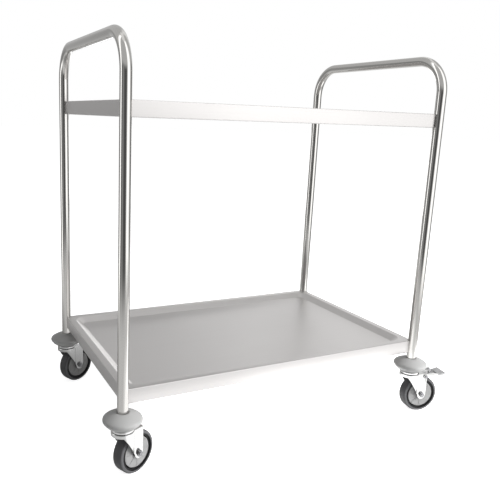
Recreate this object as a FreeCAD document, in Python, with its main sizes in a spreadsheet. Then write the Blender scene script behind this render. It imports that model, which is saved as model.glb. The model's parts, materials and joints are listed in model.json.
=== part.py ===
import FreeCAD, Part
import Sketcher

import math
import os

# A two-tier serving cart on four swivel casters, in millimetres.
# Origin: on the floor, below the middle of the cart's outer box. +X runs along the trays, +Z is up.

SIZES = {
    # End frames
    "leg_span_x": 835.0,
    "leg_span_y": 515.0,
    "frame_shift_x": -28.5,
    "tube_radius": 12.5,
    "tube_wall": 1.2,
    "handle_bend_radius": 82.0,
    "handle_rise": 133.5,
    # Trays
    "tray_spacing": 609.0,
    "tray_foot_gap": 16.0,
    "tray_skirt": 34.0,
    "tray_sheet": 1.0,
    "tray_rim": 18.0,
    "rim_bend": 1.8,
    "pan_slope": 20.0,
    "pan_depth": 12.0,
    "pan_corner": 32.0,
    "skirt_return": 12.0,
    # Stiffener under each tray
    "stiffener_width": 60.0,
    "stiffener_height": 14.0,
    "stiffener_flange": 15.0,
    "stiffener_sheet": 1.2,
    "stiffener_end_gap": 30.0,
    # Tray fastenings
    "corner_plate_side_gap": 1.6,
    "corner_plate_end_gap": 1.0,
    "corner_plate_height": 24.0,
    "corner_plate_sheet": 2.0,
    "bolt_radius": 3.0,
    "bolt_head_radius": 5.77,
    "bolt_head_height": 4.0,
    "bolt_reach": 10.0,
    "bolt_clearance": 0.25,
    "washer_radius": 8.0,
    "washer_sheet": 1.2,
    "insert_radius": 4.5,
    "insert_length": 12.0,
    "seat_clearance": 0.05,
    # Leg feet
    "plug_length": 40.0,
    "bumper_radius": 44.0,
    "bumper_height": 34.5,
    "bumper_floor": 5.5,
    "bumper_base_radius": 25.0,
    "bumper_rim_round": 7.0,
    "bumper_collar": 3.5,
    "bumper_top_round": 70.0,
    "bumper_fit": 0.1,
    # Caster stem and upper race
    "stem_radius": 6.0,
    "stem_reach": 38.0,
    "stem_head_radius": 10.0,
    "stem_head_height": 5.0,
    "stem_collar_radius": 17.0,
    "stem_collar_height": 1.5,
    "stem_chamfer": 1.0,
    "swivel_clearance": 0.1,
    "head_gap": 0.3,
    "cup_radius": 25.5,
    "cup_sheet": 2.0,
    "cup_round": 1.6,
    "race_gap": 1.4,
    # Balls between crown and cup
    "ball_radius": 2.9,
    "ball_ring_radius": 17.0,
    "race_depth": 0.4,
    "ball_clearance": 0.05,
    # Fork
    "fork_trail": 33.0,
    "fork_sheet": 2.5,
    "crown_radius": 26.0,
    "crown_lip": 8.5,
    "crown_clearance": 9.5,
    "crown_round": 2.0,
    "wheel_side_gap": 2.0,
    "leg_end_radius": 12.0,
    "lead_start": -15.0,
    # Axle
    "axle_radius": 4.0,
    "axle_clearance": 0.05,
    "axle_head_radius": 7.5,
    "axle_head_height": 5.3,
    "axle_nut_height": 4.5,
    "axle_end": 1.5,
    "sleeve_radius": 6.5,
    "sleeve_end_gap": 0.05,
    # Wheel
    "wheel_radius": 50.0,
    "tread_width": 29.0,
    "tread_round": 5.0,
    "tyre_depth": 8.5,
    "rim_wall": 2.5,
    "rim_recess": 4.0,
    "web_half": 4.0,
    "hub_radius": 11.5,
    "hub_end_gap": 0.3,
    "cover_rim_gap": 3.0,
    "cover_sheet": 2.0,
    "cover_recess": 1.2,
    "cover_round": 1.5,
    "cover_rib_width": 1.6,
    "cover_rib_height": 0.7,
    # Foot brake
    "lever_sheet": 2.0,
    "lever_gap": 0.3,
    "lever_ear": 7.0,
    "lever_plate_drop": 8.5,
    "lever_plate_gap": 1.5,
    "cheek_rise": 7.0,
    "cheek_slope": 3.0,
    "cheek_pedal_gap": 2.0,
    "pivot_set_in": 4.0,
    "pivot_drop": 8.5,
    "pin_radius": 2.5,
    "pin_head_radius": 4.2,
    "pin_head_height": 1.6,
    "shoe_place": 24.0,
    "shoe_set_in": 1.5,
    "shoe_gap": 3.0,
    "pedal_shoe_gap": 23.0,
    "pedal_length": 19.5,
    "pedal_width": 40.0,
    "pedal_tip_wall": 5.0,
    "pedal_side_wall": 3.0,
    "pedal_heel": 2.5,
    "pedal_rise": 4.5,
    "pedal_skirt": 2.5,
    "pedal_chin": 3.5,
    "pedal_round": 1.5,
    "pedal_fit": 0.1,
    "groove_start": 3.4,
    "groove_pitch": 4.0,
    "groove_width": 1.2,
    "groove_depth": 0.7,
    # Coil spring of the foot brake
    "spring_wire_radius": 0.8,
    "spring_coil_radius": 4.5,
    "spring_pitch": 2.3,
    "spring_place": 8.0,
    "spring_rest_gap": 0.4,
    "spring_foot_gap": 3.0,
    # Direction in which each caster trails, from +X towards +Y, in degrees
    "front_left_turn": 24.2,
    "front_right_turn": -12.7,
    "back_left_turn": 24.6,
    "back_right_turn": 8.0,
}

BALL_COUNT = 10
COVER_RIB_COUNT = 8
GROOVE_COUNT = 4
SPRING_WHOLE_TURNS = 3
# Points along the spring, in each of its legs and in each turn, at which its gap to itself is measured
LEG_STEPS = 12
TURN_STEPS = 48
CORNERS = {
    "front_left": (-1, -1),
    "front_right": (1, -1),
    "back_left": (-1, 1),
    "back_right": (1, 1),
}
BRAKED = ("front_right", "back_right")
# Half of the arc that rounds a bumper's rim, in degrees
RIM_ARC = 55.0
# How far a cut runs past what it cuts
BEYOND = 20.0
# How close a point lies to a plane that it is on, and how far one lies that is plainly off it
NEAR = 1e-6
CLEAR = 0.1

doc = FreeCAD.newDocument("serving_cart")
sheet = doc.addObject("Spreadsheet::Sheet", "Sizes")
for row, (alias, value) in enumerate(SIZES.items(), start=1):
    sheet.set(f"A{row}", alias.replace("_", " "))
    sheet.set(f"B{row}", str(value))
    sheet.setAlias(f"B{row}", alias)
doc.recompute()


class Size:
    """A dimension: its number, and the expression that binds it to the sheet."""

    def __init__(self, value, text):
        self.value = value
        self.text = text

    def __add__(self, other):
        other = as_size(other)
        return Size(self.value + other.value, f"({self.text} + {other.text})")

    def __sub__(self, other):
        other = as_size(other)
        return Size(self.value - other.value, f"({self.text} - {other.text})")

    def __mul__(self, other):
        other = as_size(other)
        return Size(self.value * other.value, f"({self.text} * {other.text})")

    def __truediv__(self, other):
        other = as_size(other)
        return Size(self.value / other.value, f"({self.text} / {other.text})")

    def __neg__(self):
        return Size(-self.value, f"(0 - {self.text})")


def as_size(number):
    if isinstance(number, Size):
        return number
    return Size(float(number), f"({float(number)!r})")


def root(size):
    return Size(math.sqrt(size.value), f"sqrt({size.text})")


def cosine(angle):
    return Size(math.cos(math.radians(angle.value)), f"cos({angle.text} * 1 deg)")


def sine(angle):
    return Size(math.sin(math.radians(angle.value)), f"sin({angle.text} * 1 deg)")


class Table:
    """Every cell of the sheet as a Size, under its alias."""


cell = Table()
for alias in SIZES:
    setattr(cell, alias, Size(sheet.get(alias), f"Sizes.{alias}"))

ZERO = as_size(0)
SQUARE_ROOT_2 = math.sqrt(2)

# Heights above the floor, from the wheels upwards
axle_height = cell.wheel_radius
crown_under = cell.wheel_radius * 2 + cell.crown_clearance
crown_top = crown_under + cell.fork_sheet
cup_bottom = crown_top + cell.race_gap
cup_under = crown_top + (cell.ball_radius - cell.race_depth) * 2
cup_top = cup_under + cell.cup_sheet
bumper_bottom = cup_top + cell.stem_collar_height
bumper_top = bumper_bottom + cell.bumper_height
leg_bottom = bumper_bottom + cell.bumper_floor
lower_tray_top = bumper_top + cell.tray_foot_gap + cell.tray_skirt
upper_tray_top = lower_tray_top + cell.tray_spacing
handle_height = upper_tray_top + cell.handle_rise

# Tray plan: the faces lie in the planes of the leg axes, and each corner is cut off along the leg's tangent
tray_half_x = cell.leg_span_x / 2
tray_half_y = cell.leg_span_y / 2
corner_cut = cell.tube_radius * SQUARE_ROOT_2
inner_cut = corner_cut - cell.tray_sheet * (2 - SQUARE_ROOT_2)

# Widths across a caster, from the middle of its tread
tread_half = cell.tread_width / 2
gap_half = tread_half + cell.wheel_side_gap
fork_half = gap_half + cell.fork_sheet


def bind(thing, name, size):
    thing.setExpression(name, size.text)


def place(thing, x, y, z, rotation=None, turn=None):
    """Give an object its place, bound to the sheet, and a fixed rotation or a bound turn about Z."""
    spin = rotation or FreeCAD.Rotation()
    if turn is not None:
        spin = FreeCAD.Rotation(FreeCAD.Vector(0, 0, 1), turn.value)
    base = FreeCAD.Vector(as_size(x).value, as_size(y).value, as_size(z).value)
    thing.Placement = FreeCAD.Placement(base, spin)
    for axis, size in (("x", x), ("y", y), ("z", z)):
        bind(thing, f".Placement.Base.{axis}", as_size(size))
    if turn is not None:
        thing.setExpression(".Placement.Rotation.Angle", f"{turn.text} * 1 deg")


def new_body(label):
    body = doc.addObject("PartDesign::Body", label)
    body.Label = label
    return body


def new_sketch(body, role, name, offset=None):
    """A sketch on one of the body's own origin planes, moved along the plane's normal by offset."""
    plane = next(item for item in body.Origin.OriginFeatures if item.Role == role)
    sketch = body.newObject("Sketcher::SketchObject", name)
    sketch.AttachmentSupport = [(plane, "")]
    sketch.MapMode = "FlatFace"
    if offset is not None:
        sketch.AttachmentOffset = FreeCAD.Placement(FreeCAD.Vector(0, 0, offset.value), FreeCAD.Rotation())
        bind(sketch, ".AttachmentOffset.Base.z", offset)
    return sketch


def pin_point(sketch, curve, end, x, y):
    """Hold one point of a curve at x, y."""
    for kind, size in (("DistanceX", x), ("DistanceY", y)):
        index = sketch.addConstraint(Sketcher.Constraint(kind, -1, 1, curve, end, size.value))
        bind(sketch, f"Constraints[{index}]", size)


def flat(point):
    return FreeCAD.Vector(point[0].value, point[1].value, 0)


def arc_between(start, end, radius, left):
    """The shorter arc from start to end, under a half circle, with its centre left or right of the chord."""
    first = flat(start)
    last = flat(end)
    chord = last - first
    rise = math.sqrt(radius.value ** 2 - (chord.Length / 2) ** 2)
    side = FreeCAD.Vector(-chord.y, chord.x, 0).normalize() * (rise if left else -rise)
    centre = (first + last) * 0.5 + side
    middle = centre - side.normalize() * radius.value
    return Part.Arc(first, middle, last)


def outline(sketch, points, arcs=None, closed=True):
    """Lines through the points, each point bound to the sheet. arcs: {segment: (radius, left)}."""
    arcs = arcs or {}
    points = [(as_size(x), as_size(y)) for x, y in points]
    count = len(points) if closed else len(points) - 1
    curves = []
    starts = []
    for index in range(count):
        start = points[index]
        end = points[(index + 1) % len(points)]
        if index in arcs:
            radius, left = arcs[index]
            curve = sketch.addGeometry(arc_between(start, end, as_size(radius), left), False)
            # An arc runs anticlockwise, so one with its centre on the right has its ends the other way round
            starts.append(1 if left else 2)
        else:
            curve = sketch.addGeometry(Part.LineSegment(flat(start), flat(end)), False)
            starts.append(1)
        curves.append(curve)
    for index in range(count):
        pin_point(sketch, curves[index], starts[index], *points[index])
        following = (index + 1) % count
        if closed or following > index:
            own_end = 3 - starts[index]
            next_start = (curves[following], starts[following])
            sketch.addConstraint(Sketcher.Constraint("Coincident", curves[index], own_end, *next_start))
    if not closed:
        pin_point(sketch, curves[-1], 3 - starts[-1], *points[-1])
    for index, (radius, _) in arcs.items():
        radius = as_size(radius)
        number = sketch.addConstraint(Sketcher.Constraint("Radius", curves[index], radius.value))
        bind(sketch, f"Constraints[{number}]", radius)


def circle(sketch, x, y, radius):
    x, y, radius = as_size(x), as_size(y), as_size(radius)
    curve = sketch.addGeometry(Part.Circle(flat((x, y)), FreeCAD.Vector(0, 0, 1), radius.value), False)
    pin_point(sketch, curve, 3, x, y)
    number = sketch.addConstraint(Sketcher.Constraint("Radius", curve, radius.value))
    bind(sketch, f"Constraints[{number}]", radius)


def rectangle(sketch, low_x, low_y, high_x, high_y):
    outline(sketch, [(low_x, low_y), (high_x, low_y), (high_x, high_y), (low_x, high_y)])


def cut_rectangle(sketch, half_x, half_y, cut):
    """A rectangle about the origin with its four corners cut off at 45 degrees."""
    outline(sketch, [
        (-half_x, cut - half_y), (cut - half_x, -half_y), (half_x - cut, -half_y), (half_x, cut - half_y),
        (half_x, half_y - cut), (half_x - cut, half_y), (cut - half_x, half_y), (-half_x, half_y - cut),
    ])


def round_rectangle(sketch, half_x, half_y, radius):
    """A rectangle about the origin with rounded corners."""
    outline(sketch, [
        (-half_x, radius - half_y), (radius - half_x, -half_y),
        (half_x - radius, -half_y), (half_x, radius - half_y),
        (half_x, half_y - radius), (half_x - radius, half_y),
        (radius - half_x, half_y), (-half_x, half_y - radius),
    ], {corner: (radius, True) for corner in (0, 2, 4, 6)})


def extrude(body, kind, sketch, length, name, both=False, reverse=False):
    """A Pad or Pocket of a sketch: on one side, or shared evenly by both sides."""
    feature = body.newObject(f"PartDesign::{kind}", name)
    feature.Profile = sketch
    feature.Length = length.value
    bind(feature, "Length", length)
    if both:
        feature.SideType = "Symmetric"
    feature.Reversed = reverse
    body.Tip = feature
    return feature


def revolve(body, sketch, name, kind="Revolution"):
    feature = body.newObject(f"PartDesign::{kind}", name)
    feature.Profile = sketch
    feature.ReferenceAxis = (sketch, ["V_Axis"])
    feature.Angle = 360
    body.Tip = feature
    return feature


def loft(body, kind, first, second, name):
    feature = body.newObject(f"PartDesign::{kind}", name)
    feature.Profile = first
    feature.Sections = [second]
    feature.Ruled = True
    body.Tip = feature
    return feature


def fillet(body, base, edges, radius, name):
    feature = body.newObject("PartDesign::Fillet", name)
    feature.Base = (base, edges)
    feature.Radius = radius.value
    bind(feature, "Radius", radius)
    body.Tip = feature
    return feature


def edges_where(feature, test):
    """Names of a feature's edges whose middle passes the test, in the body's own frame."""
    doc.recompute()
    found = []
    for index, edge in enumerate(feature.Shape.Edges, start=1):
        middle = edge.valueAt((edge.FirstParameter + edge.LastParameter) / 2)
        if test(edge, middle):
            found.append(f"Edge{index}")
    return found


def boolean(kind, label, base, tool):
    feature = doc.addObject(f"Part::{kind}", label)
    feature.Label = label
    feature.Base = base
    feature.Tool = tool
    return feature


def group(kind, label, members):
    """A fused or loose group of objects: kind is MultiFuse or Compound."""
    feature = doc.addObject(f"Part::{kind}", label)
    feature.Label = label
    if kind == "Compound":
        feature.Links = members
    else:
        feature.Shapes = members
    return feature


def rod(name, radius, length, x, y, z, direction):
    """A cylinder that starts at x, y, z and runs along direction."""
    feature = doc.addObject("Part::Cylinder", name)
    bind(feature, "Radius", radius)
    bind(feature, "Height", length)
    place(feature, x, y, z, FreeCAD.Rotation(FreeCAD.Vector(0, 0, 1), direction))
    return feature


def hexagon(name, corner_radius, height, x, y, z, direction):
    """A hexagonal prism that starts at x, y, z and runs along direction."""
    feature = doc.addObject("Part::Prism", name)
    feature.Polygon = 6
    bind(feature, "Circumradius", corner_radius)
    bind(feature, "Height", height)
    place(feature, x, y, z, FreeCAD.Rotation(FreeCAD.Vector(0, 0, 1), direction))
    return feature


nodes = []


def keep(feature):
    nodes.append(feature)


def leg_place(corner):
    """Where a leg's axis stands."""
    side_x, side_y = CORNERS[corner]
    return cell.frame_shift_x + tray_half_x * side_x, tray_half_y * side_y


def from_leg(corner, distance, height):
    """A point on a leg's inward diagonal, at a distance from its axis, and that diagonal's direction."""
    side_x, side_y = CORNERS[corner]
    leg_x, leg_y = leg_place(corner)
    step = distance / SQUARE_ROOT_2
    inward = FreeCAD.Vector(-side_x, -side_y, 0).normalize()
    return (leg_x - step * side_x, leg_y - step * side_y, height), inward


def tray_bolt_heights():
    """Each tray's bolts pass through the middle of its corner plates, which stand on the return."""
    above_skirt = cell.tray_sheet + cell.corner_plate_end_gap + cell.corner_plate_height / 2
    return {
        "lower": lower_tray_top - cell.tray_skirt + above_skirt,
        "upper": upper_tray_top - cell.tray_skirt + above_skirt,
    }


def end_frame(label, side_x):
    """One tube bent into an inverted U, with a hole for each tray bolt's insert."""
    body = new_body(f"{label}_tube")
    bend = cell.handle_bend_radius
    half = cell.leg_span_y / 2
    path = new_sketch(body, "YZ_Plane", f"{label}_path")
    outline(path, [
        (-half, leg_bottom), (-half, handle_height - bend), (bend - half, handle_height),
        (half - bend, handle_height), (half, handle_height - bend), (half, leg_bottom),
    ], {1: (bend, False), 3: (bend, False)}, closed=False)
    section = new_sketch(body, "XY_Plane", f"{label}_section", leg_bottom)
    circle(section, ZERO, -half, cell.tube_radius)
    circle(section, ZERO, -half, cell.tube_radius - cell.tube_wall)
    pipe = body.newObject("PartDesign::AdditivePipe", f"{label}_pipe")
    pipe.Profile = section
    pipe.Spine = path
    body.Tip = pipe
    place(body, cell.frame_shift_x + tray_half_x * side_x, ZERO, ZERO)

    holes = []
    for corner, sides in CORNERS.items():
        if sides[0] != side_x:
            continue
        for tier, height in tray_bolt_heights().items():
            point, inward = from_leg(corner, cell.tube_radius - cell.insert_length, height)
            hole = rod(f"{corner}_{tier}_hole", cell.insert_radius + cell.seat_clearance,
                       cell.insert_length + BEYOND, *point, inward)
            holes.append(hole)
    keep(boolean("Cut", label, body, group("MultiFuse", f"{label}_holes", holes)))


def tray(label, tier, top):
    """A pressed tray: raised rim, sloped pan, skirt, folded-in return and four bolt holes."""
    body = new_body(f"{label}_pressing")
    thick = cell.tray_sheet

    blank = new_sketch(body, "XY_Plane", f"{label}_blank")
    cut_rectangle(blank, tray_half_x, tray_half_y, corner_cut)
    extrude(body, "Pad", blank, cell.tray_skirt, f"{label}_block", reverse=True)

    inside = new_sketch(body, "XY_Plane", f"{label}_inside", -thick)
    cut_rectangle(inside, tray_half_x - thick, tray_half_y - thick, inner_cut)
    extrude(body, "Pocket", inside, cell.tray_skirt, f"{label}_hollow")

    pan_x = tray_half_x - cell.tray_rim
    pan_y = tray_half_y - cell.tray_rim
    slope_length = root(cell.pan_slope * cell.pan_slope + cell.pan_depth * cell.pan_depth)
    step = thick * (slope_length - cell.pan_slope) / cell.pan_depth
    deck_radius = cell.pan_corner - cell.pan_slope
    levels = {
        "under_rim": (-thick, pan_x + step, pan_y + step, cell.pan_corner + step),
        "under_deck": (-thick - cell.pan_depth, pan_x + step - cell.pan_slope, pan_y + step - cell.pan_slope,
                       deck_radius + step),
        "rim": (ZERO, pan_x, pan_y, cell.pan_corner),
        "deck": (-cell.pan_depth, pan_x - cell.pan_slope, pan_y - cell.pan_slope, deck_radius),
    }
    rings = {}
    for name, (height, half_x, half_y, radius) in levels.items():
        rings[name] = new_sketch(body, "XY_Plane", f"{label}_{name}", height)
        round_rectangle(rings[name], half_x, half_y, radius)
    loft(body, "AdditiveLoft", rings["under_rim"], rings["under_deck"], f"{label}_pan_outside")
    loft(body, "SubtractiveLoft", rings["rim"], rings["deck"], f"{label}_pan_inside")

    fold = new_sketch(body, "XY_Plane", f"{label}_return", -cell.tray_skirt)
    cut_rectangle(fold, tray_half_x - thick, tray_half_y - thick, inner_cut)
    folded = thick + cell.skirt_return
    cut_rectangle(fold, tray_half_x - folded, tray_half_y - folded, inner_cut)
    lip = extrude(body, "Pad", fold, thick, f"{label}_lip")

    def on_outer_rim(edge, middle):
        outside = abs(middle.x) > pan_x.value + CLEAR or abs(middle.y) > pan_y.value + CLEAR
        return abs(middle.z) < NEAR and outside

    fillet(body, lip, edges_where(lip, on_outer_rim), cell.rim_bend, f"{label}_bend")
    place(body, cell.frame_shift_x, ZERO, top)

    height = tray_bolt_heights()[tier]
    holes = []
    for corner in CORNERS:
        point, inward = from_leg(corner, cell.tube_radius - thick, height)
        hole_radius = cell.bolt_radius + cell.bolt_clearance
        holes.append(rod(f"{label}_{corner}_hole", hole_radius, thick + BEYOND, *point, inward))
    keep(boolean("Cut", label, body, group("MultiFuse", f"{label}_holes", holes)))


def stiffener(label, top):
    """A hat section spot-welded below the deck, along the tray."""
    body = new_body(label)
    under = top - cell.pan_depth - cell.tray_sheet
    wide = cell.stiffener_width / 2
    brim = wide + cell.stiffener_flange
    thick = cell.stiffener_sheet
    deep = cell.stiffener_height
    profile = new_sketch(body, "YZ_Plane", f"{label}_profile")
    outline(profile, [
        (-brim, ZERO), (thick - wide, ZERO), (thick - wide, thick - deep), (wide - thick, thick - deep),
        (wide - thick, ZERO), (brim, ZERO), (brim, -thick), (wide, -thick), (wide, -deep), (-wide, -deep),
        (-wide, -thick), (-brim, -thick),
    ])
    length = (tray_half_x - cell.tray_rim - cell.pan_slope - cell.stiffener_end_gap) * 2
    extrude(body, "Pad", profile, length, f"{label}_section", both=True)
    place(body, cell.frame_shift_x, ZERO, under)
    keep(body)


def tray_fastenings():
    """Corner plates, bolts, washers and leg inserts of both trays, each kind as one group."""
    plates = []
    bolts = []
    washers = []
    inserts = []
    plate_start = cell.tube_radius + cell.tray_sheet
    washer_start = plate_start + cell.corner_plate_sheet
    head_start = washer_start + cell.washer_sheet
    plate_width = inner_cut * SQUARE_ROOT_2 - cell.corner_plate_side_gap * 2
    for tier, height in tray_bolt_heights().items():
        for corner in CORNERS:
            name = f"{tier}_{corner}"

            point, inward = from_leg(corner, plate_start, height)
            across = FreeCAD.Vector(-inward.y, inward.x, 0)
            plate = doc.addObject("Part::Box", f"{name}_plate_blank")
            bind(plate, "Length", cell.corner_plate_sheet)
            bind(plate, "Width", plate_width)
            bind(plate, "Height", cell.corner_plate_height)
            half = plate_width / 2
            place(plate, point[0] - half * across.x, point[1] - half * across.y,
                  height - cell.corner_plate_height / 2, FreeCAD.Rotation(FreeCAD.Vector(1, 0, 0), inward))
            hole = rod(f"{name}_plate_hole", cell.bolt_radius + cell.bolt_clearance,
                       cell.corner_plate_sheet, *point, inward)
            plates.append(boolean("Cut", f"{name}_plate", plate, hole))

            point, inward = from_leg(corner, washer_start, height)
            disc = rod(f"{name}_washer_disc", cell.washer_radius, cell.washer_sheet, *point, inward)
            hole = rod(f"{name}_washer_hole", cell.bolt_radius + cell.bolt_clearance, cell.washer_sheet,
                       *point, inward)
            washers.append(boolean("Cut", f"{name}_washer", disc, hole))

            point, inward = from_leg(corner, head_start, height)
            head = hexagon(f"{name}_bolt_head", cell.bolt_head_radius, cell.bolt_head_height, *point, inward)
            point, inward = from_leg(corner, cell.tube_radius - cell.bolt_reach, height)
            shank_length = head_start - cell.tube_radius + cell.bolt_reach
            shank = rod(f"{name}_bolt_shank", cell.bolt_radius, shank_length, *point, inward)
            bolts.append(boolean("Fuse", f"{name}_bolt", head, shank))

            point, inward = from_leg(corner, cell.tube_radius - cell.insert_length, height)
            barrel = rod(f"{name}_insert_barrel", cell.insert_radius, cell.insert_length, *point, inward)
            thread = rod(f"{name}_insert_thread", cell.bolt_radius + cell.seat_clearance, cell.insert_length,
                         *point, inward)
            inserts.append(boolean("Cut", f"{name}_insert", barrel, thread))
    keep(group("Compound", "tray_corner_plates", plates))
    keep(group("Compound", "tray_bolts", bolts))
    keep(group("Compound", "tray_bolt_washers", washers))
    keep(group("Compound", "leg_thread_inserts", inserts))


def leg_end_plugs():
    """A threaded plug pressed into the foot of each leg, which takes the caster's stem."""
    up = FreeCAD.Vector(0, 0, 1)
    plugs = []
    for corner in CORNERS:
        leg_x, leg_y = leg_place(corner)
        barrel = rod(f"{corner}_plug_barrel", cell.tube_radius - cell.tube_wall - cell.seat_clearance,
                     cell.plug_length, leg_x, leg_y, leg_bottom, up)
        thread = rod(f"{corner}_plug_thread", cell.stem_radius + cell.seat_clearance, cell.plug_length,
                     leg_x, leg_y, leg_bottom, up)
        plugs.append(boolean("Cut", f"{corner}_plug", barrel, thread))
    keep(group("Compound", "leg_end_plugs", plugs))


def bumper(corner):
    """A lens-shaped plastic disc round the foot of the leg, with a socket for the tube."""
    label = f"{corner}_bumper"
    body = new_body(label)
    middle = cell.bumper_height / 2
    bore = cell.stem_radius + cell.bumper_fit
    socket = cell.tube_radius + cell.bumper_fit
    shoulder = cell.bumper_radius - cell.bumper_rim_round * (1 - math.cos(math.radians(RIM_ARC)))
    rise = cell.bumper_rim_round * math.sin(math.radians(RIM_ARC))
    profile = new_sketch(body, "XZ_Plane", f"{label}_profile")
    outline(profile, [
        (bore, ZERO), (cell.bumper_base_radius, ZERO), (shoulder, middle - rise), (shoulder, middle + rise),
        (socket + cell.bumper_collar, cell.bumper_height), (socket, cell.bumper_height),
        (socket, cell.bumper_floor), (bore, cell.bumper_floor),
    ], {2: (cell.bumper_rim_round, True), 3: (cell.bumper_top_round, True)})
    revolve(body, profile, f"{label}_disc")
    leg_x, leg_y = leg_place(corner)
    place(body, leg_x, leg_y, bumper_bottom)
    keep(body)


def caster_stem(corner):
    """The threaded stem, which is also the swivel pin, with its head below the fork's crown."""
    label = f"{corner}_caster_stem"
    body = new_body(label)
    head_top = crown_under - cell.head_gap
    head_bottom = head_top - cell.stem_head_height
    stem_top = bumper_bottom + cell.stem_reach
    profile = new_sketch(body, "XZ_Plane", f"{label}_profile")
    outline(profile, [
        (ZERO, head_bottom), (cell.stem_head_radius, head_bottom), (cell.stem_head_radius, head_top),
        (cell.stem_radius, head_top), (cell.stem_radius, cup_top), (cell.stem_collar_radius, cup_top),
        (cell.stem_collar_radius, bumper_bottom), (cell.stem_radius, bumper_bottom),
        (cell.stem_radius, stem_top - cell.stem_chamfer), (cell.stem_radius - cell.stem_chamfer, stem_top),
        (ZERO, stem_top),
    ])
    revolve(body, profile, f"{label}_turning")
    leg_x, leg_y = leg_place(corner)
    place(body, leg_x, leg_y, ZERO)
    keep(body)


# The balls run midway between the crown's top and the underside of the cup
ball_height = (crown_top + cup_under) / 2


def swivel_cup(corner):
    """The upper ball race: a shallow dish, rim down, fixed on the stem."""
    label = f"{corner}_swivel_cup"
    body = new_body(label)
    bore = cell.stem_radius + cell.seat_clearance
    profile = new_sketch(body, "XZ_Plane", f"{label}_profile")
    outline(profile, [
        (bore, cup_under), (cell.cup_radius - cell.cup_sheet, cup_under),
        (cell.cup_radius - cell.cup_sheet, cup_bottom),
        (cell.cup_radius, cup_bottom), (cell.cup_radius, cup_top - cell.cup_round),
        (cell.cup_radius - cell.cup_round, cup_top), (bore, cup_top),
    ], {4: (cell.cup_round, True)})
    revolve(body, profile, f"{label}_dish")
    race = new_sketch(body, "XZ_Plane", f"{label}_race")
    circle(race, cell.ball_ring_radius, ball_height, cell.ball_radius + cell.ball_clearance)
    revolve(body, race, f"{label}_race_cut", "Groove")
    leg_x, leg_y = leg_place(corner)
    place(body, leg_x, leg_y, ZERO)
    keep(body)


def turn_of(corner):
    return getattr(cell, f"{corner}_turn")


def place_on_caster(thing, corner, along, height):
    """Place a thing in its caster's vertical plane, at a distance along the trail from the stem."""
    leg_x, leg_y = leg_place(corner)
    turn = turn_of(corner)
    place(thing, leg_x + along * cosine(turn), leg_y + along * sine(turn), height, turn=turn)


def swivel_balls(corner):
    """The ring of balls between the fork's crown and the cup."""
    balls = []
    for index in range(BALL_COUNT):
        angle = 2 * math.pi * index / BALL_COUNT
        ball = doc.addObject("Part::Sphere", f"{corner}_ball_{index}")
        bind(ball, "Radius", cell.ball_radius)
        ring = cell.ball_ring_radius
        place(ball, ring * math.cos(angle), ring * math.sin(angle), ball_height)
        balls.append(ball)
    all_balls = group("Compound", f"{corner}_swivel_balls", balls)
    place_on_caster(all_balls, corner, ZERO, ZERO)
    keep(all_balls)


pivot_along = cell.fork_trail + cell.leg_end_radius - cell.pivot_set_in
pivot_height = crown_top - cell.pivot_drop


def fork(corner):
    """A pressed fork: round crown, curved shoulders that bend into two flat legs, and an open back."""
    label = f"{corner}_fork"
    body = new_body(label)
    back = cell.fork_trail + cell.leg_end_radius
    thick = cell.fork_sheet
    foot = axle_height - cell.leg_end_radius
    height = crown_top - foot

    crown = new_sketch(body, "XY_Plane", f"{label}_crown", foot)
    circle(crown, ZERO, ZERO, cell.crown_radius)
    extrude(body, "Pad", crown, height, f"{label}_crown_block")
    legs = new_sketch(body, "XY_Plane", f"{label}_legs", foot)
    rectangle(legs, ZERO, -fork_half, back, fork_half)
    block = extrude(body, "Pad", legs, height, f"{label}_leg_block")

    def on_crown_edge(edge, middle):
        return abs(middle.z - crown_top.value) < NEAR and middle.x < back.value - CLEAR

    crown_edge = edges_where(block, on_crown_edge)
    fillet(body, block, crown_edge, cell.crown_round, f"{label}_crown_bend")

    hollow = new_sketch(body, "XY_Plane", f"{label}_hollow", crown_under)
    circle(hollow, ZERO, ZERO, cell.crown_radius - thick)
    extrude(body, "Pocket", hollow, height, f"{label}_crown_hollow")
    gap = new_sketch(body, "XY_Plane", f"{label}_gap", crown_under)
    rectangle(gap, ZERO, -gap_half, back + BEYOND, gap_half)
    extrude(body, "Pocket", gap, height, f"{label}_wheel_gap")

    lip = crown_top - cell.crown_lip
    front = -cell.crown_radius - BEYOND
    leg_front = cell.fork_trail - cell.leg_end_radius
    across = cell.crown_radius * 2 + BEYOND
    waste = new_sketch(body, "XZ_Plane", f"{label}_side")
    outline(waste, [
        (front, lip), (cell.lead_start, lip), (leg_front, axle_height),
        (cell.fork_trail, foot), (back, axle_height), (back, foot - BEYOND), (front, foot - BEYOND),
    ], {2: (cell.leg_end_radius, True), 3: (cell.leg_end_radius, True)})
    extrude(body, "Pocket", waste, across, f"{label}_side_trim", both=True)

    bore = new_sketch(body, "XY_Plane", f"{label}_bore", crown_top)
    circle(bore, ZERO, ZERO, cell.stem_radius + cell.swivel_clearance)
    extrude(body, "Pocket", bore, thick + BEYOND, f"{label}_stem_hole")
    race = new_sketch(body, "XZ_Plane", f"{label}_race")
    circle(race, cell.ball_ring_radius, ball_height, cell.ball_radius + cell.ball_clearance)
    revolve(body, race, f"{label}_race_cut", "Groove")
    axle = new_sketch(body, "XZ_Plane", f"{label}_axle")
    circle(axle, cell.fork_trail, axle_height, cell.axle_radius + cell.axle_clearance)
    if corner in BRAKED:
        circle(axle, pivot_along, pivot_height, cell.pin_radius + cell.seat_clearance)
    extrude(body, "Pocket", axle, across, f"{label}_cross_holes", both=True)
    place_on_caster(body, corner, ZERO, ZERO)
    keep(body)


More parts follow.
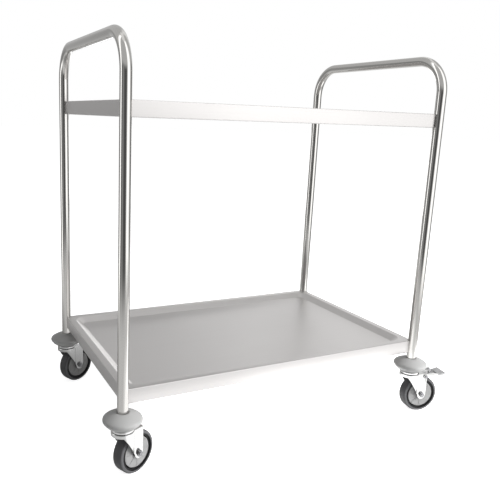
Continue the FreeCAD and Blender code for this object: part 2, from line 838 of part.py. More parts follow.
def axle_sleeve(corner):
    """The bush clamped between the fork legs, on which the wheel turns."""
    label = f"{corner}_axle_sleeve"
    body = new_body(label)
    section = new_sketch(body, "XZ_Plane", f"{label}_section")
    circle(section, ZERO, ZERO, cell.sleeve_radius)
    circle(section, ZERO, ZERO, cell.axle_radius + cell.axle_clearance)
    extrude(body, "Pad", section, (gap_half - cell.sleeve_end_gap) * 2, f"{label}_tube", both=True)
    place_on_caster(body, corner, cell.fork_trail, axle_height)
    keep(body)


def axle_bolt(corner):
    """The axle: a hexagon bolt from the inner side, with its nut on the outer side."""
    label = f"{corner}_axle_bolt"
    outward = FreeCAD.Vector(0, -1, 0)
    head_side = fork_half + cell.axle_head_height
    length = cell.axle_head_height + fork_half * 2 + cell.axle_nut_height + cell.axle_end
    head = hexagon(f"{label}_head", cell.axle_head_radius, cell.axle_head_height,
                   ZERO, head_side, ZERO, outward)
    shank = rod(f"{label}_shank", cell.axle_radius, length, ZERO, head_side, ZERO, outward)
    blank = hexagon(f"{label}_nut_blank", cell.axle_head_radius, cell.axle_nut_height,
                    ZERO, -fork_half, ZERO, outward)
    thread = rod(f"{label}_nut_thread", cell.axle_radius + cell.axle_clearance, cell.axle_nut_height,
                 ZERO, -fork_half, ZERO, outward)
    members = [boolean("Fuse", f"{label}_screw", head, shank), boolean("Cut", f"{label}_nut", blank, thread)]
    pair = group("Compound", label, members)
    place_on_caster(pair, corner, cell.fork_trail, axle_height)
    keep(pair)


tyre_bore = cell.wheel_radius - cell.tyre_depth


def tyre(corner):
    """A solid rubber tread with rounded shoulders."""
    label = f"{corner}_tyre"
    body = new_body(label)
    wide = tread_half
    soft = cell.tread_round
    outer = cell.wheel_radius
    profile = new_sketch(body, "XY_Plane", f"{label}_profile")
    outline(profile, [
        (tyre_bore, -wide), (outer - soft, -wide), (outer, soft - wide), (outer, wide - soft),
        (outer - soft, wide), (tyre_bore, wide),
    ], {1: (soft, True), 3: (soft, True)})
    revolve(body, profile, f"{label}_ring")
    place_on_caster(body, corner, cell.fork_trail, axle_height)
    keep(body)


rim_outer = tyre_bore - cell.seat_clearance
rim_inner = rim_outer - cell.rim_wall
rim_half = tread_half - cell.rim_recess
hub_half = gap_half - cell.hub_end_gap


def wheel_core(corner):
    """The moulded wheel centre: rim, web and hub in one turning."""
    label = f"{corner}_wheel_core"
    body = new_body(label)
    bore = cell.sleeve_radius + cell.axle_clearance
    web = cell.web_half
    profile = new_sketch(body, "XY_Plane", f"{label}_profile")
    outline(profile, [
        (bore, -hub_half), (cell.hub_radius, -hub_half), (cell.hub_radius, -web),
        (rim_inner, -web), (rim_inner, -rim_half), (rim_outer, -rim_half),
        (rim_outer, rim_half), (rim_inner, rim_half), (rim_inner, web),
        (cell.hub_radius, web), (cell.hub_radius, hub_half), (bore, hub_half),
    ])
    revolve(body, profile, f"{label}_turning")
    place_on_caster(body, corner, cell.fork_trail, axle_height)
    keep(body)


def wheel_cover(corner, side, name):
    """A thread guard: a dished disc that clips round the hub and stands on the web, with radial ribs."""
    label = f"{corner}_cover_{name}"
    body = new_body(label)
    inner = cell.hub_radius + cell.seat_clearance
    outer = rim_inner - cell.cover_rim_gap
    face = tread_half - cell.cover_recess - cell.cover_rib_height
    back = face - cell.cover_sheet
    profile = new_sketch(body, "XY_Plane", f"{label}_profile")
    outline(profile, [
        (inner, back), (outer - cell.cover_sheet, back), (outer - cell.cover_sheet, cell.web_half),
        (outer, cell.web_half), (outer, face - cell.cover_round),
        (outer - cell.cover_round, face), (inner, face),
    ], {4: (cell.cover_round, True)})
    revolve(body, profile, f"{label}_dish")
    rib = new_sketch(body, "XZ_Plane", f"{label}_rib", -back)
    half = cell.cover_rib_width / 2
    rectangle(rib, inner + cell.cover_rib_width, -half, outer - cell.cover_rib_width * 2, half)
    rib_depth = cell.cover_sheet + cell.cover_rib_height
    ridge = extrude(body, "Pad", rib, rib_depth, f"{label}_ridge", reverse=True)
    axis = next(item for item in body.Origin.OriginFeatures if item.Role == "Y_Axis")
    ring = body.newObject("PartDesign::PolarPattern", f"{label}_ribs")
    ring.Originals = [ridge]
    ring.Axis = (axis, [""])
    ring.Angle = 360
    ring.Occurrences = COVER_RIB_COUNT
    body.Tip = ring
    turn = FreeCAD.Rotation(FreeCAD.Vector(1, 0, 0), 0 if side > 0 else 180)
    place(body, ZERO, ZERO, ZERO, turn)
    return body


def wheel_covers(corner):
    """The two covers of a wheel, alike on both sides."""
    pair = [wheel_cover(corner, 1, "inner"), wheel_cover(corner, -1, "outer")]
    covers = group("Compound", f"{corner}_wheel_covers", pair)
    place_on_caster(covers, corner, cell.fork_trail, axle_height)
    keep(covers)


# The brake lever, in its caster's plane: distances along the trail from the stem, and heights
plate_under = crown_top - cell.lever_plate_drop
plate_top = plate_under + cell.lever_sheet
cheek_top = plate_top + cell.cheek_rise
lever_inner = fork_half + cell.lever_gap
lever_outer = lever_inner + cell.lever_sheet
shoe_along = cell.fork_trail + cell.shoe_place
shoe_circle = cell.wheel_radius + cell.shoe_gap
shoe_height = axle_height + root(shoe_circle * shoe_circle - cell.shoe_place * cell.shoe_place)
pedal_start = shoe_along + cell.lever_sheet + cell.pedal_shoe_gap
pedal_end = pedal_start + cell.pedal_length
lever_end = pedal_end - cell.pedal_tip_wall
cheek_end = pedal_start - cell.cheek_pedal_gap
tail_half = cell.pedal_width / 2 - cell.pedal_side_wall


def brake_lever(corner):
    """A folded steel lever: a channel with cheeks outside the fork, a tail and a shoe above the tread."""
    label = f"{corner}_brake_lever"
    body = new_body(label)
    ear = cell.lever_ear
    side = new_sketch(body, "XZ_Plane", f"{label}_side")
    plate_start = cell.fork_trail + cell.leg_end_radius + cell.lever_plate_gap
    outline(side, [
        (pivot_along - ear, pivot_height), (pivot_along + ear, pivot_height - cell.lever_sheet),
        (shoe_along + ear, shoe_height), (cheek_end, plate_under),
        (lever_end, plate_under), (lever_end, plate_top), (cheek_end, plate_top),
        (cheek_end - cell.cheek_slope, cheek_top), (plate_start, cheek_top),
        (pivot_along, pivot_height + ear),
    ], {9: (ear, True)})
    extrude(body, "Pad", side, lever_outer * 2, f"{label}_block", both=True)

    void = new_sketch(body, "XZ_Plane", f"{label}_void")
    low = shoe_height - BEYOND * 2
    near = pivot_along - ear - BEYOND
    far = lever_end + BEYOND
    outline(void, [
        (near, low), (far, low), (far, plate_under), (plate_start, plate_under),
        (plate_start, plate_top), (far, plate_top), (far, cheek_top + BEYOND), (near, cheek_top + BEYOND),
    ])
    extrude(body, "Pocket", void, lever_inner * 2, f"{label}_channel", both=True)

    tail = new_sketch(body, "XY_Plane", f"{label}_tail", cheek_top + BEYOND)
    for sign in (1, -1):
        outline(tail, [
            (cheek_end - cell.lever_sheet, lever_outer * sign), (far, (lever_outer + BEYOND) * sign),
            (far, tail_half * sign), (pedal_start, tail_half * sign),
        ])
    extrude(body, "Pocket", tail, cheek_top - shoe_height + BEYOND * 2, f"{label}_tail_trim")

    shoe = new_sketch(body, "XZ_Plane", f"{label}_shoe")
    rectangle(shoe, shoe_along, shoe_height, shoe_along + cell.lever_sheet, plate_under)
    extrude(body, "Pad", shoe, (tread_half - cell.shoe_set_in) * 2, f"{label}_tongue", both=True)

    hole = new_sketch(body, "XZ_Plane", f"{label}_hole")
    circle(hole, pivot_along, pivot_height, cell.pin_radius + cell.swivel_clearance)
    extrude(body, "Pocket", hole, lever_outer * 2 + BEYOND, f"{label}_pivot", both=True)
    place_on_caster(body, corner, ZERO, ZERO)
    keep(body)


def brake_pin(corner):
    """A rivet through both cheeks and both fork legs."""
    label = f"{corner}_brake_pin"
    body = new_body(label)
    profile = new_sketch(body, "XY_Plane", f"{label}_profile")
    end = lever_outer + cell.lever_gap
    tip = end + cell.pin_head_height
    outline(profile, [
        (ZERO, -tip), (cell.pin_head_radius, -tip), (cell.pin_head_radius, -end), (cell.pin_radius, -end),
        (cell.pin_radius, end), (cell.pin_head_radius, end), (cell.pin_head_radius, tip), (ZERO, tip),
    ])
    revolve(body, profile, f"{label}_turning")
    place_on_caster(body, corner, pivot_along, pivot_height)
    keep(body)


def brake_pedal(corner):
    """A plastic foot pad pushed over the tail of the lever, rising to its tip, grooved across its top."""
    label = f"{corner}_brake_pedal"
    body = new_body(label)
    low = plate_under - cell.pedal_skirt
    heel = plate_top + cell.pedal_heel
    toe = heel + cell.pedal_rise
    chin = cell.pedal_chin
    side = new_sketch(body, "XZ_Plane", f"{label}_side")
    outline(side, [
        (pedal_start, low), (pedal_end - chin, low), (pedal_end, low + chin),
        (pedal_end, toe), (pedal_start, heel),
    ])
    block = extrude(body, "Pad", side, cell.pedal_width, f"{label}_block", both=True)

    def on_soft_edge(edge, middle):
        along_side = abs(abs(middle.y) - cell.pedal_width.value / 2) < NEAR
        at_tip = abs(middle.x - pedal_end.value) < NEAR
        return middle.z > plate_top.value and (along_side or (at_tip and middle.z > toe.value - NEAR))

    fillet(body, block, edges_where(block, on_soft_edge), cell.pedal_round, f"{label}_soft_edges")
    grip = new_sketch(body, "XZ_Plane", f"{label}_grip")
    for index in range(GROOVE_COUNT):
        begin = cell.groove_start + cell.groove_pitch * index
        height = heel + cell.pedal_rise * begin / cell.pedal_length
        rectangle(grip, pedal_start + begin, height - cell.groove_depth,
                  pedal_start + begin + cell.groove_width, toe + BEYOND)
    extrude(body, "Pocket", grip, cell.pedal_width + BEYOND, f"{label}_grooves", both=True)
    slot = new_sketch(body, "XZ_Plane", f"{label}_slot")
    fit = cell.pedal_fit
    rectangle(slot, pedal_start - BEYOND, plate_under - fit, lever_end + fit, plate_top + fit)
    extrude(body, "Pocket", slot, (tail_half + fit) * 2, f"{label}_lever_slot", both=True)
    place_on_caster(body, corner, ZERO, ZERO)
    keep(body)


# The brake spring's coil, which lies across the lever's channel, and the ends of its two legs
coil_along = shoe_along + cell.spring_place
coil_height = plate_top + cell.seat_clearance + cell.spring_coil_radius + cell.spring_wire_radius
rest_height = crown_top + cell.spring_rest_gap + cell.spring_wire_radius
foot_along = pedal_start - cell.spring_foot_gap
foot_height = plate_top + cell.seat_clearance + cell.spring_wire_radius


def leg_of_spring(end_along, end_height, side):
    """Where a straight leg leaves the coil, as an angle, and the leg as along, height and length."""
    run = end_along.value - coil_along.value
    rise = end_height.value - coil_height.value
    radius = cell.spring_coil_radius.value
    away = math.hypot(run, rise)
    angle = math.atan2(rise, run) + side * math.acos(radius / away)
    run -= radius * math.cos(angle)
    rise -= radius * math.sin(angle)
    return angle, run, rise, math.hypot(run, rise)


def spring_path(first, last, width):
    """Points along the middle of the wire: first leg, coil and last leg."""
    first_angle, first_run, first_rise, _ = first
    last_angle, last_run, last_rise, _ = last
    radius = cell.spring_coil_radius.value
    whole = first_angle - last_angle + 2 * math.pi * SPRING_WHOLE_TURNS
    count = round(TURN_STEPS * whole / (2 * math.pi))

    def on_coil(share):
        angle = first_angle - whole * share
        return FreeCAD.Vector(radius * math.cos(angle), width * (share - 0.5), radius * math.sin(angle))

    points = []
    for step in range(LEG_STEPS, 0, -1):
        share = step / LEG_STEPS
        points.append(on_coil(0) + FreeCAD.Vector(first_run * share, 0, first_rise * share))
    points += [on_coil(step / count) for step in range(count + 1)]
    for step in range(1, LEG_STEPS + 1):
        share = step / LEG_STEPS
        points.append(on_coil(1) + FreeCAD.Vector(last_run * share, 0, last_rise * share))
    return points


def least_gap(points):
    """The narrowest gap between parts of the wire that lie half a turn or more apart along it."""
    half_turn = math.pi * cell.spring_coil_radius.value
    travelled = [0.0]
    for before, after in zip(points, points[1:]):
        travelled.append(travelled[-1] + before.distanceToPoint(after))
    least = math.inf
    for index, point in enumerate(points):
        for other in range(index):
            if travelled[index] - travelled[other] >= half_turn:
                least = min(least, point.distanceToPoint(points[other]))
    return least - cell.spring_wire_radius.value * 2


def brake_spring(corner):
    """A torsion spring: a coil on the lever, one leg on the fork's crown and one on the lever's plate."""
    label = f"{corner}_brake_spring"
    first = leg_of_spring(pivot_along, rest_height, -1)
    last = leg_of_spring(foot_along, foot_height, 1)
    turns = SPRING_WHOLE_TURNS + (first[0] - last[0]) / (2 * math.pi)
    width = cell.spring_pitch * turns
    gap = least_gap(spring_path(first, last, width.value))
    print(f"{label}: least gap of the wire to itself {gap:.2f} mm")

    coil = new_body(f"{label}_coil")
    section = new_sketch(coil, "XZ_Plane", f"{label}_section")
    circle(section, cell.spring_coil_radius, ZERO, cell.spring_wire_radius)
    helix = coil.newObject("PartDesign::AdditiveHelix", f"{label}_helix")
    helix.Profile = section
    helix.ReferenceAxis = (section, ["V_Axis"])
    helix.Mode = "pitch-height-angle"
    bind(helix, "Pitch", cell.spring_pitch)
    bind(helix, "Height", width)
    coil.Tip = helix
    start = FreeCAD.Vector(math.cos(first[0]), 0, math.sin(first[0]))
    across = FreeCAD.Vector(0, 1, 0)
    spin = FreeCAD.Rotation(start, across.cross(start), across, "ZXY")
    place(coil, coil_along, -width / 2, coil_height, spin)

    members = [coil]
    for name, leg, side in (("rest", first, -1), ("foot", last, 1)):
        angle, run, rise, length = leg
        members.append(rod(f"{label}_{name}", cell.spring_wire_radius, as_size(length),
                           coil_along + cell.spring_coil_radius * math.cos(angle), width / 2 * side,
                           coil_height + cell.spring_coil_radius * math.sin(angle),
                           FreeCAD.Vector(run, 0, rise)))
    wire = group("MultiFuse", label, members)
    place_on_caster(wire, corner, ZERO, ZERO)
    keep(wire)


end_frame("left_handle_frame", -1)
end_frame("right_handle_frame", 1)
tray("lower_tray", "lower", lower_tray_top)
tray("upper_tray", "upper", upper_tray_top)
stiffener("lower_tray_stiffener", lower_tray_top)
stiffener("upper_tray_stiffener", upper_tray_top)
tray_fastenings()
leg_end_plugs()
for corner in CORNERS:
    bumper(corner)
    caster_stem(corner)
    swivel_cup(corner)
    swivel_balls(corner)
    fork(corner)
    axle_sleeve(corner)
    axle_bolt(corner)
    tyre(corner)
    wheel_core(corner)
    wheel_covers(corner)
for corner in BRAKED:
    brake_lever(corner)
    brake_pin(corner)
    brake_pedal(corner)
    brake_spring(corner)
doc.recompute()

for thing in doc.Objects:
    if "Invalid" in thing.State or "Error" in thing.State:
        raise RuntimeError(f"{thing.Label} did not compute: {thing.State}")
for node in nodes:
    if node.Shape.isNull() or not node.Shape.isValid() or node.Shape.Volume <= 0:
        raise RuntimeError(f"{node.Label} has no sound shape")

os.makedirs("parts", exist_ok=True)
for node in nodes:
    node.Shape.exportStep(f"parts/{node.Label}.step")
    box = node.Shape.BoundBox
    print(f"{node.Label}: {len(node.Shape.Solids)} solids, {node.Shape.Volume:.0f} mm3, "
          f"z {box.ZMin:.1f} to {box.ZMax:.1f}")
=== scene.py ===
"""Dresses the serving cart: tube, trays, bumpers, casters and foot brakes, and the studio around it."""

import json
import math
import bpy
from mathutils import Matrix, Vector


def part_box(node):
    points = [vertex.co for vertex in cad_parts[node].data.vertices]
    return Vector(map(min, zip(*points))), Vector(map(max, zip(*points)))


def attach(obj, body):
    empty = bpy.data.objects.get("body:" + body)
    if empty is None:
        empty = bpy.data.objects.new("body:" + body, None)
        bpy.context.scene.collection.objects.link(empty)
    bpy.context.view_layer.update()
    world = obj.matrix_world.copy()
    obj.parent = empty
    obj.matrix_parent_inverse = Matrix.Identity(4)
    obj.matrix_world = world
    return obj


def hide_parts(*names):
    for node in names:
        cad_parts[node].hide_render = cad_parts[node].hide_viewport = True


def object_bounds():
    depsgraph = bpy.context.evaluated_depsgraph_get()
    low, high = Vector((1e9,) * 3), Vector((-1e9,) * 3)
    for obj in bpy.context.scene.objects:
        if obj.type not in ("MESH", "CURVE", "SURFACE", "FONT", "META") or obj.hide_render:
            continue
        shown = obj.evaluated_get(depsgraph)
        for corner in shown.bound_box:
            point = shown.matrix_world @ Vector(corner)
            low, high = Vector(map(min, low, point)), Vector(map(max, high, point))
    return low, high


bl_info = {
    "name": "Serving Cart",
    "version": (1, 0, 0),
    "blender": (4, 5, 0),
    "location": "View3D > Sidebar > Cart",
    "description": "Models and finishes a tiered serving cart on its measured frame",
    "category": "Object",
}

import bpy
from bpy.props import FloatProperty, FloatVectorProperty, IntProperty, PointerProperty
from mathutils import Matrix, Vector

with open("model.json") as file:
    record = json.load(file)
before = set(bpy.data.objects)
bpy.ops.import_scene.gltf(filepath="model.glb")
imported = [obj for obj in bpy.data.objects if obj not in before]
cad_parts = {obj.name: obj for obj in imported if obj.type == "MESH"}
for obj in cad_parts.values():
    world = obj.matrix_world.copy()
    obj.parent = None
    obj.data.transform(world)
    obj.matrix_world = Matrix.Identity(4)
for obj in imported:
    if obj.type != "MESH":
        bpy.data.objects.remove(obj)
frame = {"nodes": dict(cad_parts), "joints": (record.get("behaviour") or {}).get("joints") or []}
CAD_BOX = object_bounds()

CORNERS = ("front_left", "front_right", "back_left", "back_right")
BRAKED = ("front_right", "back_right")
JOINTS = {joint["name"]: joint for joint in frame["joints"]}
QUARTER_TURN = math.pi / 2
FULL_TURN = math.pi * 2
UP = Vector((0.0, 0.0, 1.0))

# Material slots and the names of their finishes
FINISHES = {
    "polished_tube": "Polished Tube",
    "tray_sheet": "Brushed Sheet",
    "plated_steel": "Plated Steel",
    "bearing_steel": "Bearing Steel",
    "bolt_steel": "Bolt Steel",
    "grey_bumper": "Bumper Plastic",
    "grey_rubber": "Tread Rubber",
    # The wheel centre's finish is dark plastic, darkened further as painted shade of the groove between tyre
    # and covers
    "dark_core": "Wheel Centre Plastic And Groove Shade",
    "cover_plastic": "Cover Plastic",
    "pedal_plastic": "Pedal Plastic",
}
# Darkest and lightest shade of a finish, as shares of its colour
METAL_SHADES = (0.94, 1.04)
MOULDED_SHADES = (0.88, 1.1)
# Depth of brush lines and of moulded grain, in metres
LINE_DEPTH = 0.0001
GRAIN_DEPTH = 0.0002
# Painted shade on the tyre, as shares of the rubber's colour: on the running surface, and in the groove where
# shade falls
TREAD_PAINTED_SHADE = 0.6
GROOVE_PAINTED_SHADE = 0.08
# The running surface's painted shade begins at this share of the tyre's shoulder
TREAD_EDGE = 0.3
# Height mark above which a point of the fork counts as the crown's top, which takes the painted shade of the
# gap under the race cup
CROWN_SHADE_TOP = 0.9
# Distance between nodes in the editor
NODE_STEP = 220

# Angles, in degrees, below which shading runs on smoothly
SMOOTH_ANGLE = 35.0
TUBE_SMOOTH = 40.0
SHEET_SMOOTH = 30.0
BUMPER_SMOOTH = 50.0
# Edges sharper than this are rounded, and faces flatter than this are one face, in degrees
SHARP_ANGLE = 40.0
FLAT_ANGLE = 1.0
# Faces along curved stretches
HANDLE_STEPS = 20
SHOULDER_STEPS = 8
CUP_STEPS = 6
RIM_STEPS = 10
BOWL_STEPS = 6
DOME_STEPS = 8
ROUND_STEPS = 2
# Bevel profiles of a round corner and of one that curves inwards about its own point
ROUND = 0.5
NOTCH = 0.086
# Room between a leg and the tray's notched corner, and between a leg and its bumper
NOTCH_ROOM = 0.0003
SOCKET_ROOM = 0.0001
# Outlines that are bridged are never quite level with each other
OFF_LEVEL = 2e-5
# Size of the small flats on moulded edges
MITRE = 0.0006
# Points closer than this are one point
MERGE = 1e-6

# Columns of the ring of studio screens
SCREEN_SIDES = 90
# Bearing to the right of the way to the camera, in degrees, and how bright the screens are there
SCREENS = (
    (-180, 0.76), (-165, 0.37), (-140, 0.58), (-126, 0.44), (-108, 0.30), (-86, 0.34), (-79, 2.0),
    (-66, 2.0), (-60, 0.18), (-46, 0.18), (-36, 0.32), (-26, 0.32), (-16, 0.13), (14, 0.08), (22, 0.20),
    (32, 0.80), (42, 1.80), (70, 1.90), (84, 1.30), (96, 0.60), (110, 0.24), (125, 0.18), (140, 0.25),
    (150, 0.85), (165, 1.05), (180, 0.76))
BRIGHTEST_SCREEN = 2.5
# Above these heights the ring of screens turns into one pale ceiling of this brightness
CEILING_FROM = 0.95
CEILING_FULL = 2.10
CEILING = 0.6
# The mirrored floor turns into the screens between these distances from its middle
FLOOR_TURN = (1.2, 2.4)
# Soft pools on the mirrored floor: middle, full to this distance, none from this one, brightness
POOLS = (
    ((0.5, -0.6, 0.0), 0.0, 1.1, 1.2),
    ((-0.14, -0.62, 0.0), 0.0, 1.1, 1.2),
    ((0.92, 2.6, 0.0), 0.0, 1.4, 1.6),
    ((0.25, -0.38, 0.0), 0.25, 0.42, 2.1),
    ((0.62, -0.38, 0.0), 0.25, 0.42, 2.1),
    ((-0.12, -0.40, 0.0), 0.25, 0.42, 1.6))
# A shaded place on that floor: middle, full to this distance, none from this one, light that is left
SHADE = ((-0.62, 0.42, 0.0), 0.2, 0.8, 0.45)
# Square soft lamps: name, place, side and power
LAMPS = (("key_softbox", (2.4, -2.6, 1.9), 2.0, 210.0), ("top_softbox", (0.4, -0.6, 3.6), 3.0, 40.0))
LAMP_AIM = Vector((0.0, 0.0, 0.5))
WHITE = (1.0, 1.0, 1.0, 1.0)
FLOOR_PAINT = (0.8, 0.8, 0.8, 1.0)
# Width of the camera's sensor, in millimetres, and how far the camera sees
SENSOR_WIDTH = 36.0
FARTHEST = 100.0


class CartShapeSettings(bpy.types.PropertyGroup):
    """Sizes of the bends and edges that the frame's solids leave plain."""

    handle_bend: FloatProperty(name="Handle Bend", description="Radius of the tube's bends, at its middle",
                               default=0.082, unit="LENGTH")
    tube_wall: FloatProperty(name="Tube Wall", description="Thickness of the tube's wall",
                             default=0.0012, unit="LENGTH")
    tube_sides: IntProperty(name="Tube Sides", description="Faces round the tube", default=48)
    sheet: FloatProperty(name="Sheet", description="Thickness of the tray's sheet",
                         default=0.001, unit="LENGTH")
    rim: FloatProperty(name="Rim", description="Width of the tray's flat rim", default=0.018, unit="LENGTH")
    pan_slope: FloatProperty(name="Pan Slope", description="Width of the pan's sloped wall",
                             default=0.020, unit="LENGTH")
    pan_depth: FloatProperty(name="Pan Depth", description="Height of the rim above the deck",
                             default=0.012, unit="LENGTH")
    pan_corner: FloatProperty(name="Pan Corner", description="Radius of the pan's corners at the rim",
                              default=0.032, unit="LENGTH")
    pan_bend: FloatProperty(name="Pan Bend", description="Radius of the bends above and below the slope",
                            default=0.005, unit="LENGTH")
    rim_bend: FloatProperty(name="Rim Bend", description="Radius of the bend between rim and skirt",
                            default=0.0018, unit="LENGTH")
    skirt_return: FloatProperty(name="Skirt Return", description="Width of the folded-in lower edge",
                                default=0.012, unit="LENGTH")
    bend_steps: IntProperty(name="Bend Steps", description="Faces across each bend of the sheet", default=4)
    corner_steps: IntProperty(name="Corner Steps", description="Faces round each corner of the tray",
                              default=10)
    wheel_sides: IntProperty(name="Wheel Sides", description="Faces round tyres, cups and bumpers",
                             default=96)
    stem_hole: FloatProperty(name="Stem Hole", description="Radius of the stem's hole in cup and bumper",
                             default=0.0061, unit="LENGTH")
    bumper_rim: FloatProperty(name="Bumper Rim", description="Radius of the bumper's round rim",
                              default=0.007, unit="LENGTH")
    bumper_floor: FloatProperty(name="Bumper Floor", description="Thickness of the bumper below the tube",
                                default=0.0055, unit="LENGTH")
    bumper_foot: FloatProperty(name="Bumper Foot", description="Radius of the bumper's flat foot",
                               default=0.0235, unit="LENGTH")
    bumper_bevel: FloatProperty(name="Bumper Bevel", description="Width of the bevel round that foot",
                                default=0.0013, unit="LENGTH")
    rim_sweep: FloatProperty(name="Rim Sweep", description="Half the angle that the bumper's rim turns",
                             default=math.radians(55.0), subtype="ANGLE")
    bowl_bow: FloatProperty(name="Bowl Bow", description="How far the bumper's underside bulges",
                            default=0.0022, unit="LENGTH")
    dome_bow: FloatProperty(name="Dome Bow", description="How far the bumper's top bulges",
                            default=0.0012, unit="LENGTH")
    collar: FloatProperty(name="Collar", description="Width of the bumper's flat collar round the tube",
                          default=0.0035, unit="LENGTH")
    collar_lip: FloatProperty(name="Collar Lip", description="Size of the bevel inside that collar",
                              default=0.0012, unit="LENGTH")
    cup_sheet: FloatProperty(name="Cup Sheet", description="Thickness of the race cups' sheet",
                             default=0.002, unit="LENGTH")
    cup_round: FloatProperty(name="Cup Round", description="Radius of a race cup's shoulder",
                             default=0.0016, unit="LENGTH")
    cup_trim: FloatProperty(name="Cup Trim", description="How far a cup's rim stays above its CAD solid's",
                            default=0.0008, unit="LENGTH")
    tyre_thickness: FloatProperty(name="Tyre Thickness", description="Thickness of the tread on the wheel",
                                  default=0.0085, unit="LENGTH")
    tyre_shoulder: FloatProperty(name="Tyre Shoulder", description="Radius of the tread's round shoulders",
                                 default=0.0055, unit="LENGTH")
    groove_width: FloatProperty(name="Groove Width", description="Width of the groove inside the tyre's wall",
                                default=0.0011, unit="LENGTH")
    groove_depth: FloatProperty(name="Groove Depth", description="Depth of that groove",
                                default=0.0015, unit="LENGTH")
    pedal_tip: FloatProperty(name="Pedal Tip", description="Thickness of the pedal at its front edge",
                             default=0.005, unit="LENGTH")
    pedal_skirt: FloatProperty(name="Pedal Skirt", description="Height cut away below the pedal's heel",
                               default=0.003, unit="LENGTH")
    pedal_round: FloatProperty(name="Pedal Round", description="Rounding of the pedal's edges",
                               default=0.0003, unit="LENGTH")
    plate_round: FloatProperty(name="Plate Round", description="Rounding of the pressed plates' cut edges",
                               default=0.0004, unit="LENGTH")


class CartFinishSettings(bpy.types.PropertyGroup):
    """Colours of the finishes."""

    tube: FloatVectorProperty(name="Tube", description="Polished stainless tube",
                              subtype="COLOR", size=3, default=(0.62, 0.61, 0.59))
    tray: FloatVectorProperty(name="Tray", description="Brushed stainless sheet",
                              subtype="COLOR", size=3, default=(0.655, 0.64, 0.632))
    plating: FloatVectorProperty(name="Plating", description="Bright zinc plating",
                                 subtype="COLOR", size=3, default=(0.68, 0.68, 0.675))
    bearing: FloatVectorProperty(name="Bearing", description="Hardened steel of balls and springs",
                                 subtype="COLOR", size=3, default=(0.60, 0.60, 0.61))
    bolt: FloatVectorProperty(name="Bolt", description="Dull zinc of axle bolts, nuts and brake pins",
                              subtype="COLOR", size=3, default=(0.30, 0.30, 0.31))
    # Painted shade, not a colour of the steel: near black on the crown's top in the gap under each race cup
    crown_shade: FloatVectorProperty(name="Painted Shade", description="Grease in the swivel races",
                                subtype="COLOR", size=3, default=(0.015, 0.015, 0.015))
    bumper: FloatVectorProperty(name="Bumper", description="Moulded bumper plastic",
                                subtype="COLOR", size=3, default=(0.41, 0.41, 0.406))
    rubber: FloatVectorProperty(name="Rubber", description="Tread rubber",
                                subtype="COLOR", size=3, default=(0.12, 0.12, 0.125))
    # Near black: dark plastic of the wheel centre, darkened further as painted shade where it shows in the
    # deep groove between tyre and covers
    core: FloatVectorProperty(name="Core", description="Wheel centre",
                              subtype="COLOR", size=3, default=(0.012, 0.012, 0.013))
    cover: FloatVectorProperty(name="Cover", description="Wheel covers",
                               subtype="COLOR", size=3, default=(0.31, 0.31, 0.31))
    pedal: FloatVectorProperty(name="Pedal", description="Foot pedals",
                               subtype="COLOR", size=3, default=(0.5, 0.5, 0.505))


class CartStageSettings(bpy.types.PropertyGroup):
    """The studio: camera, room light, floor, and the screens and the card that polished metal mirrors."""

    camera_place: FloatVectorProperty(name="Camera Place", description="Where the camera stands", size=3,
                                      default=(-0.82864, -1.38683, 0.78464), subtype="TRANSLATION")
    camera_yaw: FloatProperty(name="Camera Yaw", description="Turn of the view from +Y towards +X",
                              default=0.45615, subtype="ANGLE")
    camera_pitch: FloatProperty(name="Camera Pitch", description="How far the view looks down",
                                default=0.20846, subtype="ANGLE")
    camera_roll: FloatProperty(name="Camera Roll", description="Tilt of the camera about its own axis",
                               default=0.03662, subtype="ANGLE")
    focal_length: FloatProperty(name="Focal Length", default=42.784,
                                description="Lens for a sensor 36 mm wide, in millimetres")
    shift_x: FloatProperty(name="Shift X", description="Sideways shift of the frame, in frame widths",
                           default=0.100)
    shift_y: FloatProperty(name="Shift Y", description="Upward shift of the frame, in frame widths",
                           default=-0.0138)
    room_light: FloatProperty(name="Room Light", description="Light from all round", default=0.24)
    floor_size: FloatProperty(name="Floor Size", description="Length of the floor's side",
                              default=60.0, unit="LENGTH")
    floor_glow: FloatProperty(name="Floor Glow", description="Light that keeps the floor white to look at",
                              default=0.85)
    near_floor: FloatProperty(name="Near Floor", description="Brightness of the mirrored floor near the cart",
                              default=0.75)
    screen_distance: FloatProperty(name="Screen Distance", description="Radius of the ring of studio screens",
                                   default=3.2, unit="LENGTH")
    screen_height: FloatProperty(name="Screen Height", description="Height of the ring of studio screens",
                                 default=12.0, unit="LENGTH")
    card_place: FloatVectorProperty(name="Card Place", description="Middle of the low card behind the cart",
                                    size=3, default=(1.05, 2.8, 0.42), subtype="TRANSLATION")
    card_width: FloatProperty(name="Card Width", description="Width of that card",
                              default=1.5, unit="LENGTH")
    card_height: FloatProperty(name="Card Height", description="Height of that card",
                               default=0.6, unit="LENGTH")
    card_level: FloatProperty(name="Card Level", description="Brightness of that card", default=2.6)


class CartSettings(bpy.types.PropertyGroup):
    """All that a user would change."""

    shape: PointerProperty(type=CartShapeSettings, name="Shape", description="Bends and edges")
    finish: PointerProperty(type=CartFinishSettings, name="Finish", description="Colours")
    stage: PointerProperty(type=CartStageSettings, name="Stage", description="Camera and studio")


def settings():
    return bpy.context.scene.cart


# Selection and modelling helpers


def deselect_all():
    """Leave edit mode with nothing selected."""
    if bpy.context.mode != "OBJECT":
        bpy.ops.object.mode_set(mode="OBJECT")
    bpy.ops.object.select_all(action="DESELECT")


def make_active(piece):
    deselect_all()
    piece.select_set(True)
    bpy.context.view_layer.objects.active = piece


